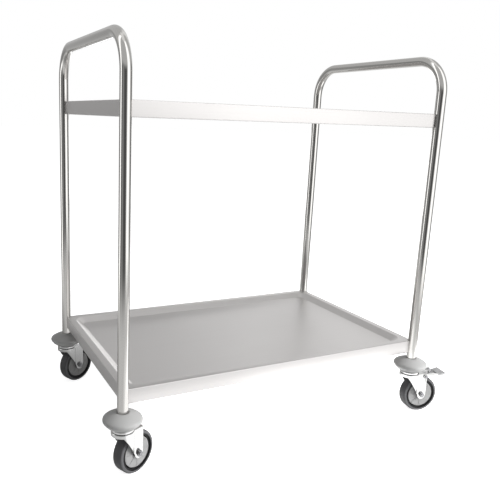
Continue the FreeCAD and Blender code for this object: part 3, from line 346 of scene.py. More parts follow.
def begin(name):
    """Name the primitive that was just added, put its place into its mesh and open it for editing."""
    piece = bpy.context.active_object
    piece.name = name
    piece.data.name = name
    bpy.ops.object.transform_apply(location=True, rotation=True, scale=True)
    bpy.ops.object.mode_set(mode="EDIT")
    bpy.ops.mesh.select_mode(type="VERT")
    bpy.ops.mesh.select_all(action="SELECT")
    return piece


def open_all(piece):
    """Open a piece for editing with everything selected."""
    make_active(piece)
    bpy.ops.object.mode_set(mode="EDIT")
    bpy.ops.mesh.select_all(action="SELECT")


def finish_shape(piece, smooth_angle=SMOOTH_ANGLE, outward=True):
    """Close doubles, turn the faces outwards and smooth the shading between shallow angles."""
    open_all(piece)
    bpy.ops.mesh.remove_doubles(threshold=MERGE)
    if outward:
        bpy.ops.mesh.normals_make_consistent(inside=False)
    bpy.ops.object.mode_set(mode="OBJECT")
    bpy.ops.object.shade_smooth_by_angle(angle=math.radians(smooth_angle))
    return piece


def face_from(piece, wanted):
    """Turn all faces over unless the largest one faces the wanted way."""
    largest = max(piece.data.polygons, key=lambda face: face.area)
    if largest.normal.dot(wanted(largest)) < 0:
        piece.data.flip_normals()


def apply_modifier(piece, kind, **values):
    make_active(piece)
    modifier = piece.modifiers.new(kind.title(), kind)
    for key, value in values.items():
        setattr(modifier, key, value)
    bpy.ops.object.modifier_apply(modifier=modifier.name)


def round_edges(piece, width):
    """Round the sharp edges of a piece whose faces already point outwards."""
    apply_modifier(piece, "BEVEL", width=width, segments=ROUND_STEPS, limit_method="ANGLE",
                   angle_limit=math.radians(SHARP_ANGLE))
    finish_shape(piece, outward=False)


def extrude_edges(step):
    bpy.ops.mesh.extrude_edges_move(TRANSFORM_OT_translate={"value": step})


def draw_line(name, points):
    """A chain of vertices through the points, drawn by extruding a single vertex; left in edit mode."""
    deselect_all()
    bpy.ops.mesh.primitive_plane_add(size=1.0)
    piece = begin(name)
    bpy.ops.mesh.merge(type="CENTER")
    bpy.ops.transform.translate(value=points[0])
    for start, end in zip(points, points[1:]):
        step = Vector(end) - Vector(start)
        bpy.ops.mesh.extrude_vertices_move(TRANSFORM_OT_translate={"value": step})
    return piece


def arc(centre, radius, start, end, steps):
    """Points of an arc in a plane, angles in degrees."""
    points = []
    for index in range(steps + 1):
        angle = math.radians(start + (end - start) * index / steps)
        points.append((centre[0] + radius * math.cos(angle), centre[1] + radius * math.sin(angle)))
    return points


def lathe(name, profile, axis="Z", smooth_angle=SMOOTH_ANGLE):
    """Turn a closed profile of (radius, height) about an axis through the origin."""
    ring = [*profile, profile[0]]
    if axis == "Z":
        points = [(radius, 0.0, height) for radius, height in ring]
        direction = (0.0, 0.0, 1.0)
    else:
        points = [(radius, height, 0.0) for radius, height in ring]
        direction = (0.0, 1.0, 0.0)
    piece = draw_line(name, points)
    bpy.ops.mesh.select_all(action="SELECT")
    bpy.ops.mesh.spin(steps=settings().shape.wheel_sides, angle=FULL_TURN, center=(0, 0, 0), axis=direction)
    return finish_shape(piece, smooth_angle)


def copy_node(name, node):
    """A merged copy of a CAD node, to be finished as a piece of its own."""
    piece = copy_to(frame["nodes"][node], name, Matrix())
    open_all(piece)
    bpy.ops.mesh.remove_doubles(threshold=MERGE)
    bpy.ops.mesh.dissolve_limited(angle_limit=math.radians(FLAT_ANGLE))
    bpy.ops.object.mode_set(mode="OBJECT")
    return piece


def copy_to(master, name, matrix):
    """A copy of a piece with a mesh of its own, placed by a matrix."""
    piece = bpy.data.objects.new(name, master.data.copy())
    bpy.context.scene.collection.objects.link(piece)
    piece.data.name = name
    piece.data.transform(matrix)
    piece.data.update()
    return piece


def discard(piece):
    bpy.data.objects.remove(piece)


def dress(piece, body, material, node):
    """Give a piece its finish and its body, and let it stand for its CAD node."""
    piece.data.materials.clear()
    piece.data.materials.append(material)
    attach(piece, body)
    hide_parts(node)


def finish_node(node, material):
    """Give a CAD node its finish."""
    thing = frame["nodes"][node]
    thing.data.materials.clear()
    thing.data.materials.append(material)


# Places on the frame


def tube_radius():
    """Outer radius of the tube that the legs are made of."""
    low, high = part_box("left_handle_frame")
    return (high.x - low.x) / 2


def caster_place(corner):
    """From a caster's own frame, with its stem at the origin and its trail along +X, to its place."""
    stem = Vector(JOINTS[f"{corner}_swivel"]["pos_m"])
    trail = Vector(JOINTS[f"{corner}_wheel_spin"]["pos_m"]) - stem
    turn = math.atan2(trail.y, trail.x)
    return Matrix.Translation((stem.x, stem.y, 0.0)) @ Matrix.Rotation(turn, 4, "Z")


def box_on_caster(node, corner):
    """A CAD node's lowest and highest corner in its caster's own frame."""
    back = caster_place(corner).inverted()
    points = [back @ vertex.co for vertex in frame["nodes"][node].data.vertices]
    low = Vector([min(point[axis] for point in points) for axis in range(3)])
    high = Vector([max(point[axis] for point in points) for axis in range(3)])
    return low, high


def axle_point(corner):
    """The middle of a wheel in its caster's own frame."""
    return caster_place(corner).inverted() @ Vector(JOINTS[f"{corner}_wheel_spin"]["pos_m"])


# Materials


def add_node(tree, kind, inputs=None, **values):
    """A node to the right of the last one, with its inputs wired to sockets or set to plain values."""
    node = tree.nodes.new(kind)
    node.location.x = NODE_STEP * len(tree.nodes)
    for key, value in values.items():
        setattr(node, key, value)
    for key, value in (inputs or {}).items():
        if isinstance(value, bpy.types.NodeSocket):
            tree.links.new(value, node.inputs[key])
        else:
            node.inputs[key].default_value = value
    return node


def calculate(tree, operation, first, second):
    """One step of arithmetic with sockets or plain numbers."""
    return add_node(tree, "ShaderNodeMath", {0: first, 1: second}, operation=operation).outputs[0]


def new_group(name, inputs, outputs):
    """A node group and the outputs of its input node; inputs are (name, kind, default), outputs names."""
    tree = bpy.data.node_groups.new(name, "ShaderNodeTree")
    for label, kind, default in inputs:
        socket = tree.interface.new_socket(label, in_out="INPUT", socket_type=kind)
        if default is not None:
            socket.default_value = default
    for label in outputs:
        tree.interface.new_socket(label, in_out="OUTPUT", socket_type="NodeSocketFloat")
    return tree, add_node(tree, "NodeGroupInput").outputs


def value_range(tree, source, low, high):
    """Map a 0 to 1 value on to a range."""
    wiring = {"Value": source, "To Min": low, "To Max": high}
    return add_node(tree, "ShaderNodeMapRange", wiring).outputs["Result"]


def noise(tree, vector, scale, detail, roughness):
    wiring = {"Vector": vector, "Scale": scale, "Detail": detail, "Roughness": roughness}
    return add_node(tree, "ShaderNodeTexNoise", wiring).outputs["Fac"]


def brush_lines_group():
    """Fine lines, close together along the directions with most stretch, and slow smudges over them."""
    tree, start = new_group(
        "Brush Lines",
        [("Vector", "NodeSocketVector", None), ("Stretch", "NodeSocketVector", (1.0, 1.0, 1.0))],
        ["Lines", "Smudge"])
    stretched = add_node(tree, "ShaderNodeVectorMath", {0: start["Vector"], 1: start["Stretch"]},
                         operation="MULTIPLY")
    lines = noise(tree, stretched.outputs["Vector"], scale=1.0, detail=3.0, roughness=0.6)
    smudge = noise(tree, start["Vector"], scale=5.0, detail=3.0, roughness=0.5)
    add_node(tree, "NodeGroupOutput", {"Lines": lines, "Smudge": smudge})
    return tree


def moulded_grain_group():
    """The fine pebble of moulded plastic and rubber, with a slow change of tone."""
    tree, start = new_group(
        "Moulded Grain",
        [("Vector", "NodeSocketVector", None), ("Scale", "NodeSocketFloat", 900.0)],
        ["Grain", "Tone"])
    grain = noise(tree, start["Vector"], start["Scale"], detail=2.0, roughness=0.5)
    tone = noise(tree, start["Vector"], scale=14.0, detail=4.0, roughness=0.6)
    add_node(tree, "NodeGroupOutput", {"Grain": grain, "Tone": tone})
    return tree


def empty_material(name):
    """A material without nodes, and its node tree."""
    material = bpy.data.materials.new(name)
    material.use_nodes = True
    material.node_tree.nodes.clear()
    return material, material.node_tree


def use_group(tree, group, **values):
    """Place a node group on the object's own coordinates, with its own values."""
    place = add_node(tree, "ShaderNodeTexCoord").outputs["Object"]
    inputs = {key.title(): value for key, value in values.items()}
    return add_node(tree, "ShaderNodeGroup", {"Vector": place, **inputs}, node_tree=group).outputs


def tint(tree, source, colour, shades):
    """A colour that moves between two shades of itself."""
    dark, light = ((*(channel * shade for channel in colour), 1.0) for shade in shades)
    mix = add_node(tree, "ShaderNodeMix", {"Factor": source, "A": dark, "B": light}, data_type="RGBA")
    return mix.outputs["Result"]


def relief(tree, source, strength, depth):
    """A normal that follows a height."""
    wiring = {"Height": source, "Strength": strength, "Distance": depth}
    return add_node(tree, "ShaderNodeBump", wiring).outputs["Normal"]


def close_material(tree, inputs):
    """End a material with its shader and output."""
    shader = add_node(tree, "ShaderNodeBsdfPrincipled", inputs)
    add_node(tree, "ShaderNodeOutputMaterial", {"Surface": shader.outputs["BSDF"]})


def brushed_metal(name, group, colour, stretch, gloss, strength):
    """Metal with brush lines along one direction and a smudged gloss."""
    material, tree = empty_material(name)
    pattern = use_group(tree, group, stretch=stretch)
    close_material(tree, {
        "Metallic": 1.0,
        "Base Color": tint(tree, pattern["Lines"], colour, METAL_SHADES),
        "Roughness": value_range(tree, pattern["Smudge"], *gloss),
        "Normal": relief(tree, pattern["Lines"], strength, LINE_DEPTH)})
    return material


def moulded(name, group, colour, scale, gloss, strength):
    """Moulded plastic or rubber with a fine pebble."""
    material, tree = empty_material(name)
    pattern = use_group(tree, group, scale=scale)
    close_material(tree, {
        "Base Color": tint(tree, pattern["Tone"], colour, MOULDED_SHADES),
        "Roughness": value_range(tree, pattern["Tone"], *gloss),
        "Normal": relief(tree, pattern["Grain"], strength, GRAIN_DEPTH)})
    return material


def cart_materials():
    """Every finish of the cart, by the name of its slot."""
    found = {slot: bpy.data.materials.get(name) for slot, name in FINISHES.items()}
    if all(found.values()):
        return found
    finish = settings().finish
    brush = brush_lines_group()
    pebble = moulded_grain_group()
    # Colour, brush lines to the metre along each axis, roughness from and to, strength of the relief
    metals = {
        "polished_tube": (finish.tube, (300, 300, 2500), (0.09, 0.15), 0.02),
        "tray_sheet": (finish.tray, (6, 1500, 1500), (0.34, 0.42), 0.05),
        "plated_steel": (finish.plating, (400, 400, 400), (0.10, 0.18), 0.03),
        "bearing_steel": (finish.bearing, (500, 500, 500), (0.1, 0.2), 0.02),
        "bolt_steel": (finish.bolt, (600, 600, 600), (0.2, 0.34), 0.03),
    }
    # Colour, pebbles to the metre, roughness from and to, strength of the relief
    plastics = {
        "grey_bumper": (finish.bumper, 900.0, (0.36, 0.48), 0.15),
        "grey_rubber": (finish.rubber, 700.0, (0.55, 0.75), 0.3),
        # The wheel centre's colour is partly painted shade of the groove between tyre and covers
        "dark_core": (finish.core, 900.0, (0.45, 0.6), 0.15),
        "cover_plastic": (finish.cover, 900.0, (0.4, 0.55), 0.15),
        "pedal_plastic": (finish.pedal, 900.0, (0.45, 0.6), 0.2),
    }
    made = {slot: brushed_metal(FINISHES[slot], brush, *values) for slot, values in metals.items()}
    made.update({slot: moulded(FINISHES[slot], pebble, *values) for slot, values in plastics.items()})
    paint_tyre_shade(made["grey_rubber"])
    # Paint shade on the forks' crowns in the gap under the race cups
    paint_crown_shade(made["plated_steel"], finish.crown_shade)
    return made


def colour_feed(material):
    """A material's node tree, its shader's base colour and the socket that feeds it."""
    tree = material.node_tree
    shader = next(node for node in tree.nodes if node.type == "BSDF_PRINCIPLED")
    colour = shader.inputs["Base Color"]
    return tree, colour, colour.links[0].from_socket


def paint_tyre_shade(material):
    """Darken the running surface and the groove of the tyre by the painted shade that its mesh carries."""
    tree, colour, rubber = colour_feed(material)
    shade = add_node(tree, "ShaderNodeAttribute", attribute_name="shade").outputs["Color"]
    mix = add_node(tree, "ShaderNodeMix", {"Factor": 1.0, "A": rubber, "B": shade},
                   data_type="RGBA", blend_type="MULTIPLY")
    tree.links.new(mix.outputs["Result"], colour)


def paint_crown_shade(material, crown_shade):
    """Paint shade on the steel where its mesh marks the crown's top, within the reach of the race cup: the
    gap under the cup is painted near black.
    """
    tree, colour, steel = colour_feed(material)
    mark = add_node(tree, "ShaderNodeAttribute", attribute_name="crown_shade").outputs["Vector"]
    height = add_node(tree, "ShaderNodeSeparateXYZ", {0: mark}).outputs["Z"]
    flat = add_node(tree, "ShaderNodeVectorMath", {0: mark, 1: (1.0, 1.0, 0.0)}, operation="MULTIPLY")
    reach = add_node(tree, "ShaderNodeVectorMath", {0: flat.outputs["Vector"]}, operation="LENGTH")
    inside = calculate(tree, "LESS_THAN", reach.outputs["Value"], 1.0)
    on_top = calculate(tree, "GREATER_THAN", height, CROWN_SHADE_TOP)
    in_crown_shade = calculate(tree, "MULTIPLY", inside, on_top)
    mix = add_node(tree, "ShaderNodeMix", {"Factor": in_crown_shade, "A": steel, "B": (*crown_shade, 1.0)},
                   data_type="RGBA")
    tree.links.new(mix.outputs["Result"], colour)


class CART_OT_end_frames(bpy.types.Operator):
    """Model the two bent tubes that are legs and push handles"""

    bl_idname = "cart.end_frames"
    bl_label = "End Frames"

    def execute(self, context):
        material = cart_materials()["polished_tube"]
        for side in ("left", "right"):
            node = f"{side}_handle_frame"
            tube = self.bent_tube(f"{side}_tube", node)
            dress(tube, "frame", material, node)
        return {"FINISHED"}

    def bent_tube(self, name, node):
        """Draw a circle up the front leg, round both bends and down the back leg."""
        shape = settings().shape
        low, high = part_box(node)
        radius = (high.x - low.x) / 2
        middle = (high.x + low.x) / 2
        front = low.y + radius
        back = high.y - radius
        bend_z = high.z - radius - shape.handle_bend
        rise = bend_z - low.z
        span = back - front - 2 * shape.handle_bend
        deselect_all()
        bpy.ops.mesh.primitive_circle_add(vertices=shape.tube_sides, radius=radius,
                                          location=(middle, front, low.z))
        tube = begin(name)
        extrude_edges((0.0, 0.0, rise))
        self.turn_bend((middle, front + shape.handle_bend, bend_z))
        extrude_edges((0.0, span, 0.0))
        self.turn_bend((middle, back - shape.handle_bend, bend_z))
        extrude_edges((0.0, 0.0, -rise))
        finish_shape(tube)

        def off_leg(face):
            """The way from the middle line of its leg out to a face."""
            leg = front if face.center.y < 0 else back
            return face.center - Vector((middle, leg, face.center.z))

        face_from(tube, off_leg)
        apply_modifier(tube, "SOLIDIFY", thickness=shape.tube_wall, offset=-1.0)
        return finish_shape(tube, TUBE_SMOOTH, outward=False)

    def turn_bend(self, centre):
        bpy.ops.mesh.spin(steps=HANDLE_STEPS, angle=QUARTER_TURN, center=centre, axis=(1.0, 0.0, 0.0))


class CART_OT_trays(bpy.types.Operator):
    """Model the two pressed trays with their rims, sloped pans and folded skirts"""

    bl_idname = "cart.trays"
    bl_label = "Trays"

    def execute(self, context):
        material = cart_materials()["tray_sheet"]
        for tier in ("lower", "upper"):
            node = f"{tier}_tray"
            tray = self.pressed_tray(f"{tier}_pressing", node)
            dress(tray, "frame", material, node)
            finish_node(f"{tier}_tray_stiffener", material)
        return {"FINISHED"}

    def pan_levels(self, top):
        """Inset, height and corner radius of each ring, from the deck up to the rim's inner edge."""
        shape = settings().shape
        slope = math.atan2(shape.pan_depth, shape.pan_slope)
        take_up = shape.pan_bend * math.tan(slope / 2)
        deck = shape.rim + shape.pan_slope
        levels = []
        for index in range(shape.bend_steps + 1):
            angle = slope * index / shape.bend_steps
            run = -take_up + shape.pan_bend * math.sin(angle)
            levels.append((deck - run, top - shape.pan_depth + shape.pan_bend * (1 - math.cos(angle))))
        for index in range(shape.bend_steps + 1):
            angle = slope * (1 - index / shape.bend_steps)
            run = take_up - shape.pan_bend * math.sin(angle)
            levels.append((shape.rim - run, top - shape.pan_bend * (1 - math.cos(angle))))
        return [(inset, height, shape.pan_corner + shape.rim - inset) for inset, height in levels]

    def skirt_levels(self, top, bottom):
        """Inset and height of each ring, from the rim's outer bend down to the folded-in edge."""
        shape = settings().shape
        bend = shape.rim_bend
        levels = [(bend - x, top - bend + y) for x, y in arc((0, 0), bend, 90, 0, shape.bend_steps)]
        levels += [(bend - x, bottom + bend + y) for x, y in arc((0, 0), bend, 0, -90, shape.bend_steps)]
        return levels + [(shape.skirt_return, bottom + OFF_LEVEL)]

    def add_ring(self, centre, half, height, corner, profile):
        """A rectangle with rounded or notched corners, as bare edges in a vertex group of their own."""
        place = (centre.x, centre.y, height)
        bpy.ops.mesh.primitive_plane_add(size=2.0, location=place)
        bpy.ops.transform.resize(value=(half.x, half.y, 1.0), center_override=place)
        bpy.ops.mesh.bevel(offset=corner, segments=settings().shape.corner_steps, affect="VERTICES",
                           profile=profile, offset_type="OFFSET")
        bpy.ops.object.vertex_group_assign_new()
        bpy.ops.mesh.delete(type="ONLY_FACE")

    def pressed_tray(self, name, node):
        """Bridge the rings from the deck out to the folded-in edge, and give the sheet its thickness."""
        shape = settings().shape
        low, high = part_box(node)
        notch = tube_radius() + NOTCH_ROOM
        centre = (low + high) / 2
        half = (high - low) / 2
        rings = [(*level, ROUND) for level in self.pan_levels(high.z - OFF_LEVEL)]
        for inset, height in self.skirt_levels(high.z, low.z):
            rings.append((inset, height, math.sqrt((notch + inset) ** 2 - inset ** 2) - inset, NOTCH))
        deselect_all()
        bpy.ops.mesh.primitive_plane_add(size=1.0)
        tray = begin(name)
        bpy.ops.mesh.delete(type="VERT")
        for inset, height, corner, profile in rings:
            bpy.ops.mesh.select_all(action="DESELECT")
            self.add_ring(centre, half - Vector((inset, inset, 0.0)), height, corner, profile)
        for index in range(len(rings) - 1):
            self.select_rings(tray, index, index + 1)
            bpy.ops.mesh.bridge_edge_loops()
        self.select_rings(tray, 0)
        bpy.ops.mesh.edge_face_add()
        bpy.ops.object.vertex_group_remove(all=True)
        finish_shape(tray)
        face_from(tray, lambda face: UP)
        apply_modifier(tray, "SOLIDIFY", thickness=shape.sheet, offset=-1.0, use_even_offset=True)
        return finish_shape(tray, SHEET_SMOOTH, outward=False)

    def select_rings(self, tray, *indices):
        bpy.ops.mesh.select_all(action="DESELECT")
        for index in indices:
            tray.vertex_groups.active_index = index
            bpy.ops.object.vertex_group_select()


class CART_OT_bumpers(bpy.types.Operator):
    """Model the bumper discs round the feet of the legs"""

    bl_idname = "cart.bumpers"
    bl_label = "Bumpers"

    def execute(self, context):
        material = cart_materials()["grey_bumper"]
        low, high = box_on_caster("front_left_bumper", "front_left")
        disc = lathe("bumper", self.profile(low, high), smooth_angle=BUMPER_SMOOTH)
        for corner in CORNERS:
            piece = copy_to(disc, f"{corner}_bumper_disc", caster_place(corner))
            dress(piece, "frame", material, f"{corner}_bumper")
        discard(disc)
        return {"FINISHED"}

    def profile(self, low, high):
        """Half section: a bowl below, a round rim, a flat dome above and the socket for the tube."""
        shape = settings().shape
        socket = tube_radius() + SOCKET_ROOM
        floor = low.z + shape.bumper_floor
        sweep = math.degrees(shape.rim_sweep)
        rim_middle = (high.x - shape.bumper_rim, (low.z + high.z) / 2)
        rim = arc(rim_middle, shape.bumper_rim, -sweep, sweep, RIM_STEPS)
        foot = [(shape.stem_hole, low.z), (shape.bumper_foot, low.z),
                (shape.bumper_foot + shape.bumper_bevel, low.z + MITRE)]
        bowl = self.curve(foot[-1], rim[0], shape.bowl_bow, BOWL_STEPS)
        collar = (socket + shape.collar, high.z)
        dome = self.curve(rim[-1], collar, shape.dome_bow, DOME_STEPS)
        lip = [(socket + shape.collar_lip, high.z), (socket, high.z - shape.collar_lip)]
        return foot + bowl + rim + dome + [collar] + lip + [(socket, floor), (shape.stem_hole, floor)]

    def curve(self, start, end, bow, steps):
        """Points between two points on a parabola, bowed to the right of the way from start to end."""
        run = Vector(end) - Vector(start)
        side = Vector((run.y, -run.x)).normalized()
        points = []
        for index in range(1, steps):
            share = index / steps
            points.append(tuple(Vector(start) + run * share + side * bow * 4 * share * (1 - share)))
        return points


class CART_OT_caster_steel(bpy.types.Operator):
    """Model the plated forks and race cups, and finish the stems, balls and axles"""

    bl_idname = "cart.caster_steel"
    bl_label = "Caster Steel"

    def execute(self, context):
        materials = cart_materials()
        plating = materials["plated_steel"]
        cup_low, cup_high = box_on_caster("front_left_swivel_cup", "front_left")
        cup = lathe("race_cup", self.cup_profile(cup_low, cup_high))
        for corner in CORNERS:
            fork = copy_node(f"{corner}_pressed_fork", f"{corner}_fork")
            round_edges(fork, settings().shape.plate_round)
            # Mark the crown's top for its painted shade under the cup
            self.mark_crown_shade(fork, corner, cup_high.x)
            dress(fork, f"{corner}_caster", plating, f"{corner}_fork")
            piece = copy_to(cup, f"{corner}_race_cup", caster_place(corner))
            dress(piece, "frame", plating, f"{corner}_swivel_cup")
            for name in ("axle_sleeve", "caster_stem"):
                finish_node(f"{corner}_{name}", plating)
            finish_node(f"{corner}_axle_bolt", materials["bolt_steel"])
            finish_node(f"{corner}_swivel_balls", materials["bearing_steel"])
        discard(cup)
        return {"FINISHED"}

    def cup_profile(self, low, high):
        """Half section of a race cup: a shallow dish, rim down, with a round shoulder."""
        shape = settings().shape
        radius = high.x
        wall = radius - shape.cup_sheet
        rim = low.z + shape.cup_trim
        under = high.z - shape.cup_sheet
        soft = shape.cup_round
        shoulder = arc((radius - soft, high.z - soft), soft, 90, 0, CUP_STEPS)
        inside = [(radius, rim), (wall, rim), (wall, under), (shape.stem_hole, under)]
        return [(shape.stem_hole, high.z)] + shoulder + inside

    def mark_crown_shade(self, fork, corner, radius):
        """Mark places about the stem in cup radii, and with 1 for their height on the crown's top alone, for
        the painted shade under the cup.
        """
        back = caster_place(corner).inverted()
        top = max(vertex.co.z for vertex in fork.data.vertices) - OFF_LEVEL
        marks = fork.data.attributes.new("crown_shade", "FLOAT_VECTOR", "POINT")
        for vertex, mark in zip(fork.data.vertices, marks.data):
            place = back @ vertex.co
            mark.vector = (place.x / radius, place.y / radius, 1.0 if place.z > top else 0.0)


class CART_OT_wheels(bpy.types.Operator):
    """Model the tyres, and finish the wheels' centres and covers"""

    bl_idname = "cart.wheels"
    bl_label = "Wheels"

    def execute(self, context):
        materials = cart_materials()
        low, high = box_on_caster("front_left_tyre", "front_left")
        axle = axle_point("front_left")
        radius = (high.z - low.z) / 2
        half = (high.y - low.y) / 2
        tyre = lathe("tyre", self.tyre_profile(radius, half), axis="Y")
        # Painted shade is marked on the tyre's points: darker tread, black groove
        self.mark_painted_shades(tyre, radius, half)
        for corner in CORNERS:
            place = caster_place(corner) @ Matrix.Translation(axle)
            piece = copy_to(tyre, f"{corner}_tread", place)
            dress(piece, f"{corner}_wheel", materials["grey_rubber"], f"{corner}_tyre")
            # The near-black centre is partly painted shade of the groove between tyre and covers
            finish_node(f"{corner}_wheel_core", materials["dark_core"])
            finish_node(f"{corner}_wheel_covers", materials["cover_plastic"])
        discard(tyre)
        return {"FINISHED"}

    def tyre_profile(self, radius, half):
        """Half section of the tread, with round shoulders and a groove where it meets the wheel's centre."""
        shape = settings().shape
        soft = shape.tyre_shoulder
        bore = radius - shape.tyre_thickness
        wall = bore + shape.groove_width
        bed = half - shape.groove_depth
        shoulder = arc((radius - soft, half - soft), soft, 0, 90, SHOULDER_STEPS)
        side = shoulder + [(wall + MITRE, half), (wall, half - MITRE), (wall, bed), (bore, bed)]
        return side + [(x, -y) for x, y in reversed(side)]

    def mark_painted_shades(self, tyre, radius, half):
        """Painted shade of the rubber: plain on the walls, darker on the tread, black in the groove where
        shade falls.
        """
        shape = settings().shape
        wall = radius - shape.tyre_thickness + shape.groove_width
        marks = tyre.data.attributes.new("shade", "FLOAT", "POINT")
        for vertex, mark in zip(tyre.data.vertices, marks.data):
            reach = math.hypot(vertex.co.x, vertex.co.z)
            mark.value = 1.0
            if abs(vertex.co.y) < half - shape.tyre_shoulder * TREAD_EDGE:
                mark.value = TREAD_PAINTED_SHADE
            if reach < wall + MITRE / 2:
                mark.value = GROOVE_PAINTED_SHADE


class CART_OT_brakes(bpy.types.Operator):
    """Model the foot levers and their pedals, and finish the pins and springs"""

    bl_idname = "cart.brakes"
    bl_label = "Foot Brakes"

    def execute(self, context):
        materials = cart_materials()
        shape = settings().shape
        for corner in BRAKED:
            body = f"{corner}_brake"
            lever = copy_node(f"{corner}_foot_lever", f"{corner}_brake_lever")
            round_edges(lever, shape.plate_round)
            dress(lever, body, materials["plated_steel"], f"{corner}_brake_lever")
            pedal = copy_node(f"{corner}_foot_pedal", f"{corner}_brake_pedal")
            self.thin_pad(pedal, corner)
            round_edges(pedal, shape.pedal_round)
            dress(pedal, body, materials["pedal_plastic"], f"{corner}_brake_pedal")
            finish_node(f"{corner}_brake_pin", materials["bolt_steel"])
            finish_node(f"{corner}_brake_spring", materials["bearing_steel"])
        return {"FINISHED"}

    def thin_pad(self, pedal, corner):
        """Cut away what is below a slope from just above the pedal's heel up to its thin toe."""
        shape = settings().shape
        place = caster_place(corner)
        low, high = box_on_caster(f"{corner}_brake_pedal", corner)
        heel = Vector((low.x, 0.0, low.z + shape.pedal_skirt))
        toe = Vector((high.x, 0.0, high.z - shape.pedal_tip))
        run = toe - heel
        away = Vector((run.z, 0.0, -run.x))
        open_all(pedal)
        bpy.ops.mesh.bisect(plane_co=place @ heel, plane_no=place.to_3x3() @ away, clear_outer=True,
                            use_fill=True, threshold=MERGE)
        bpy.ops.object.mode_set(mode="OBJECT")


class CART_OT_fastenings(bpy.types.Operator):
    """Finish the hidden plates, bolts, washers, inserts and plugs"""

    bl_idname = "cart.fastenings"
    bl_label = "Fastenings"

    def execute(self, context):
        plating = cart_materials()["plated_steel"]
        for name in ("tray_corner_plates", "tray_bolts", "tray_bolt_washers", "leg_thread_inserts",
                     "leg_end_plugs"):
            finish_node(name, plating)
        return {"FINISHED"}


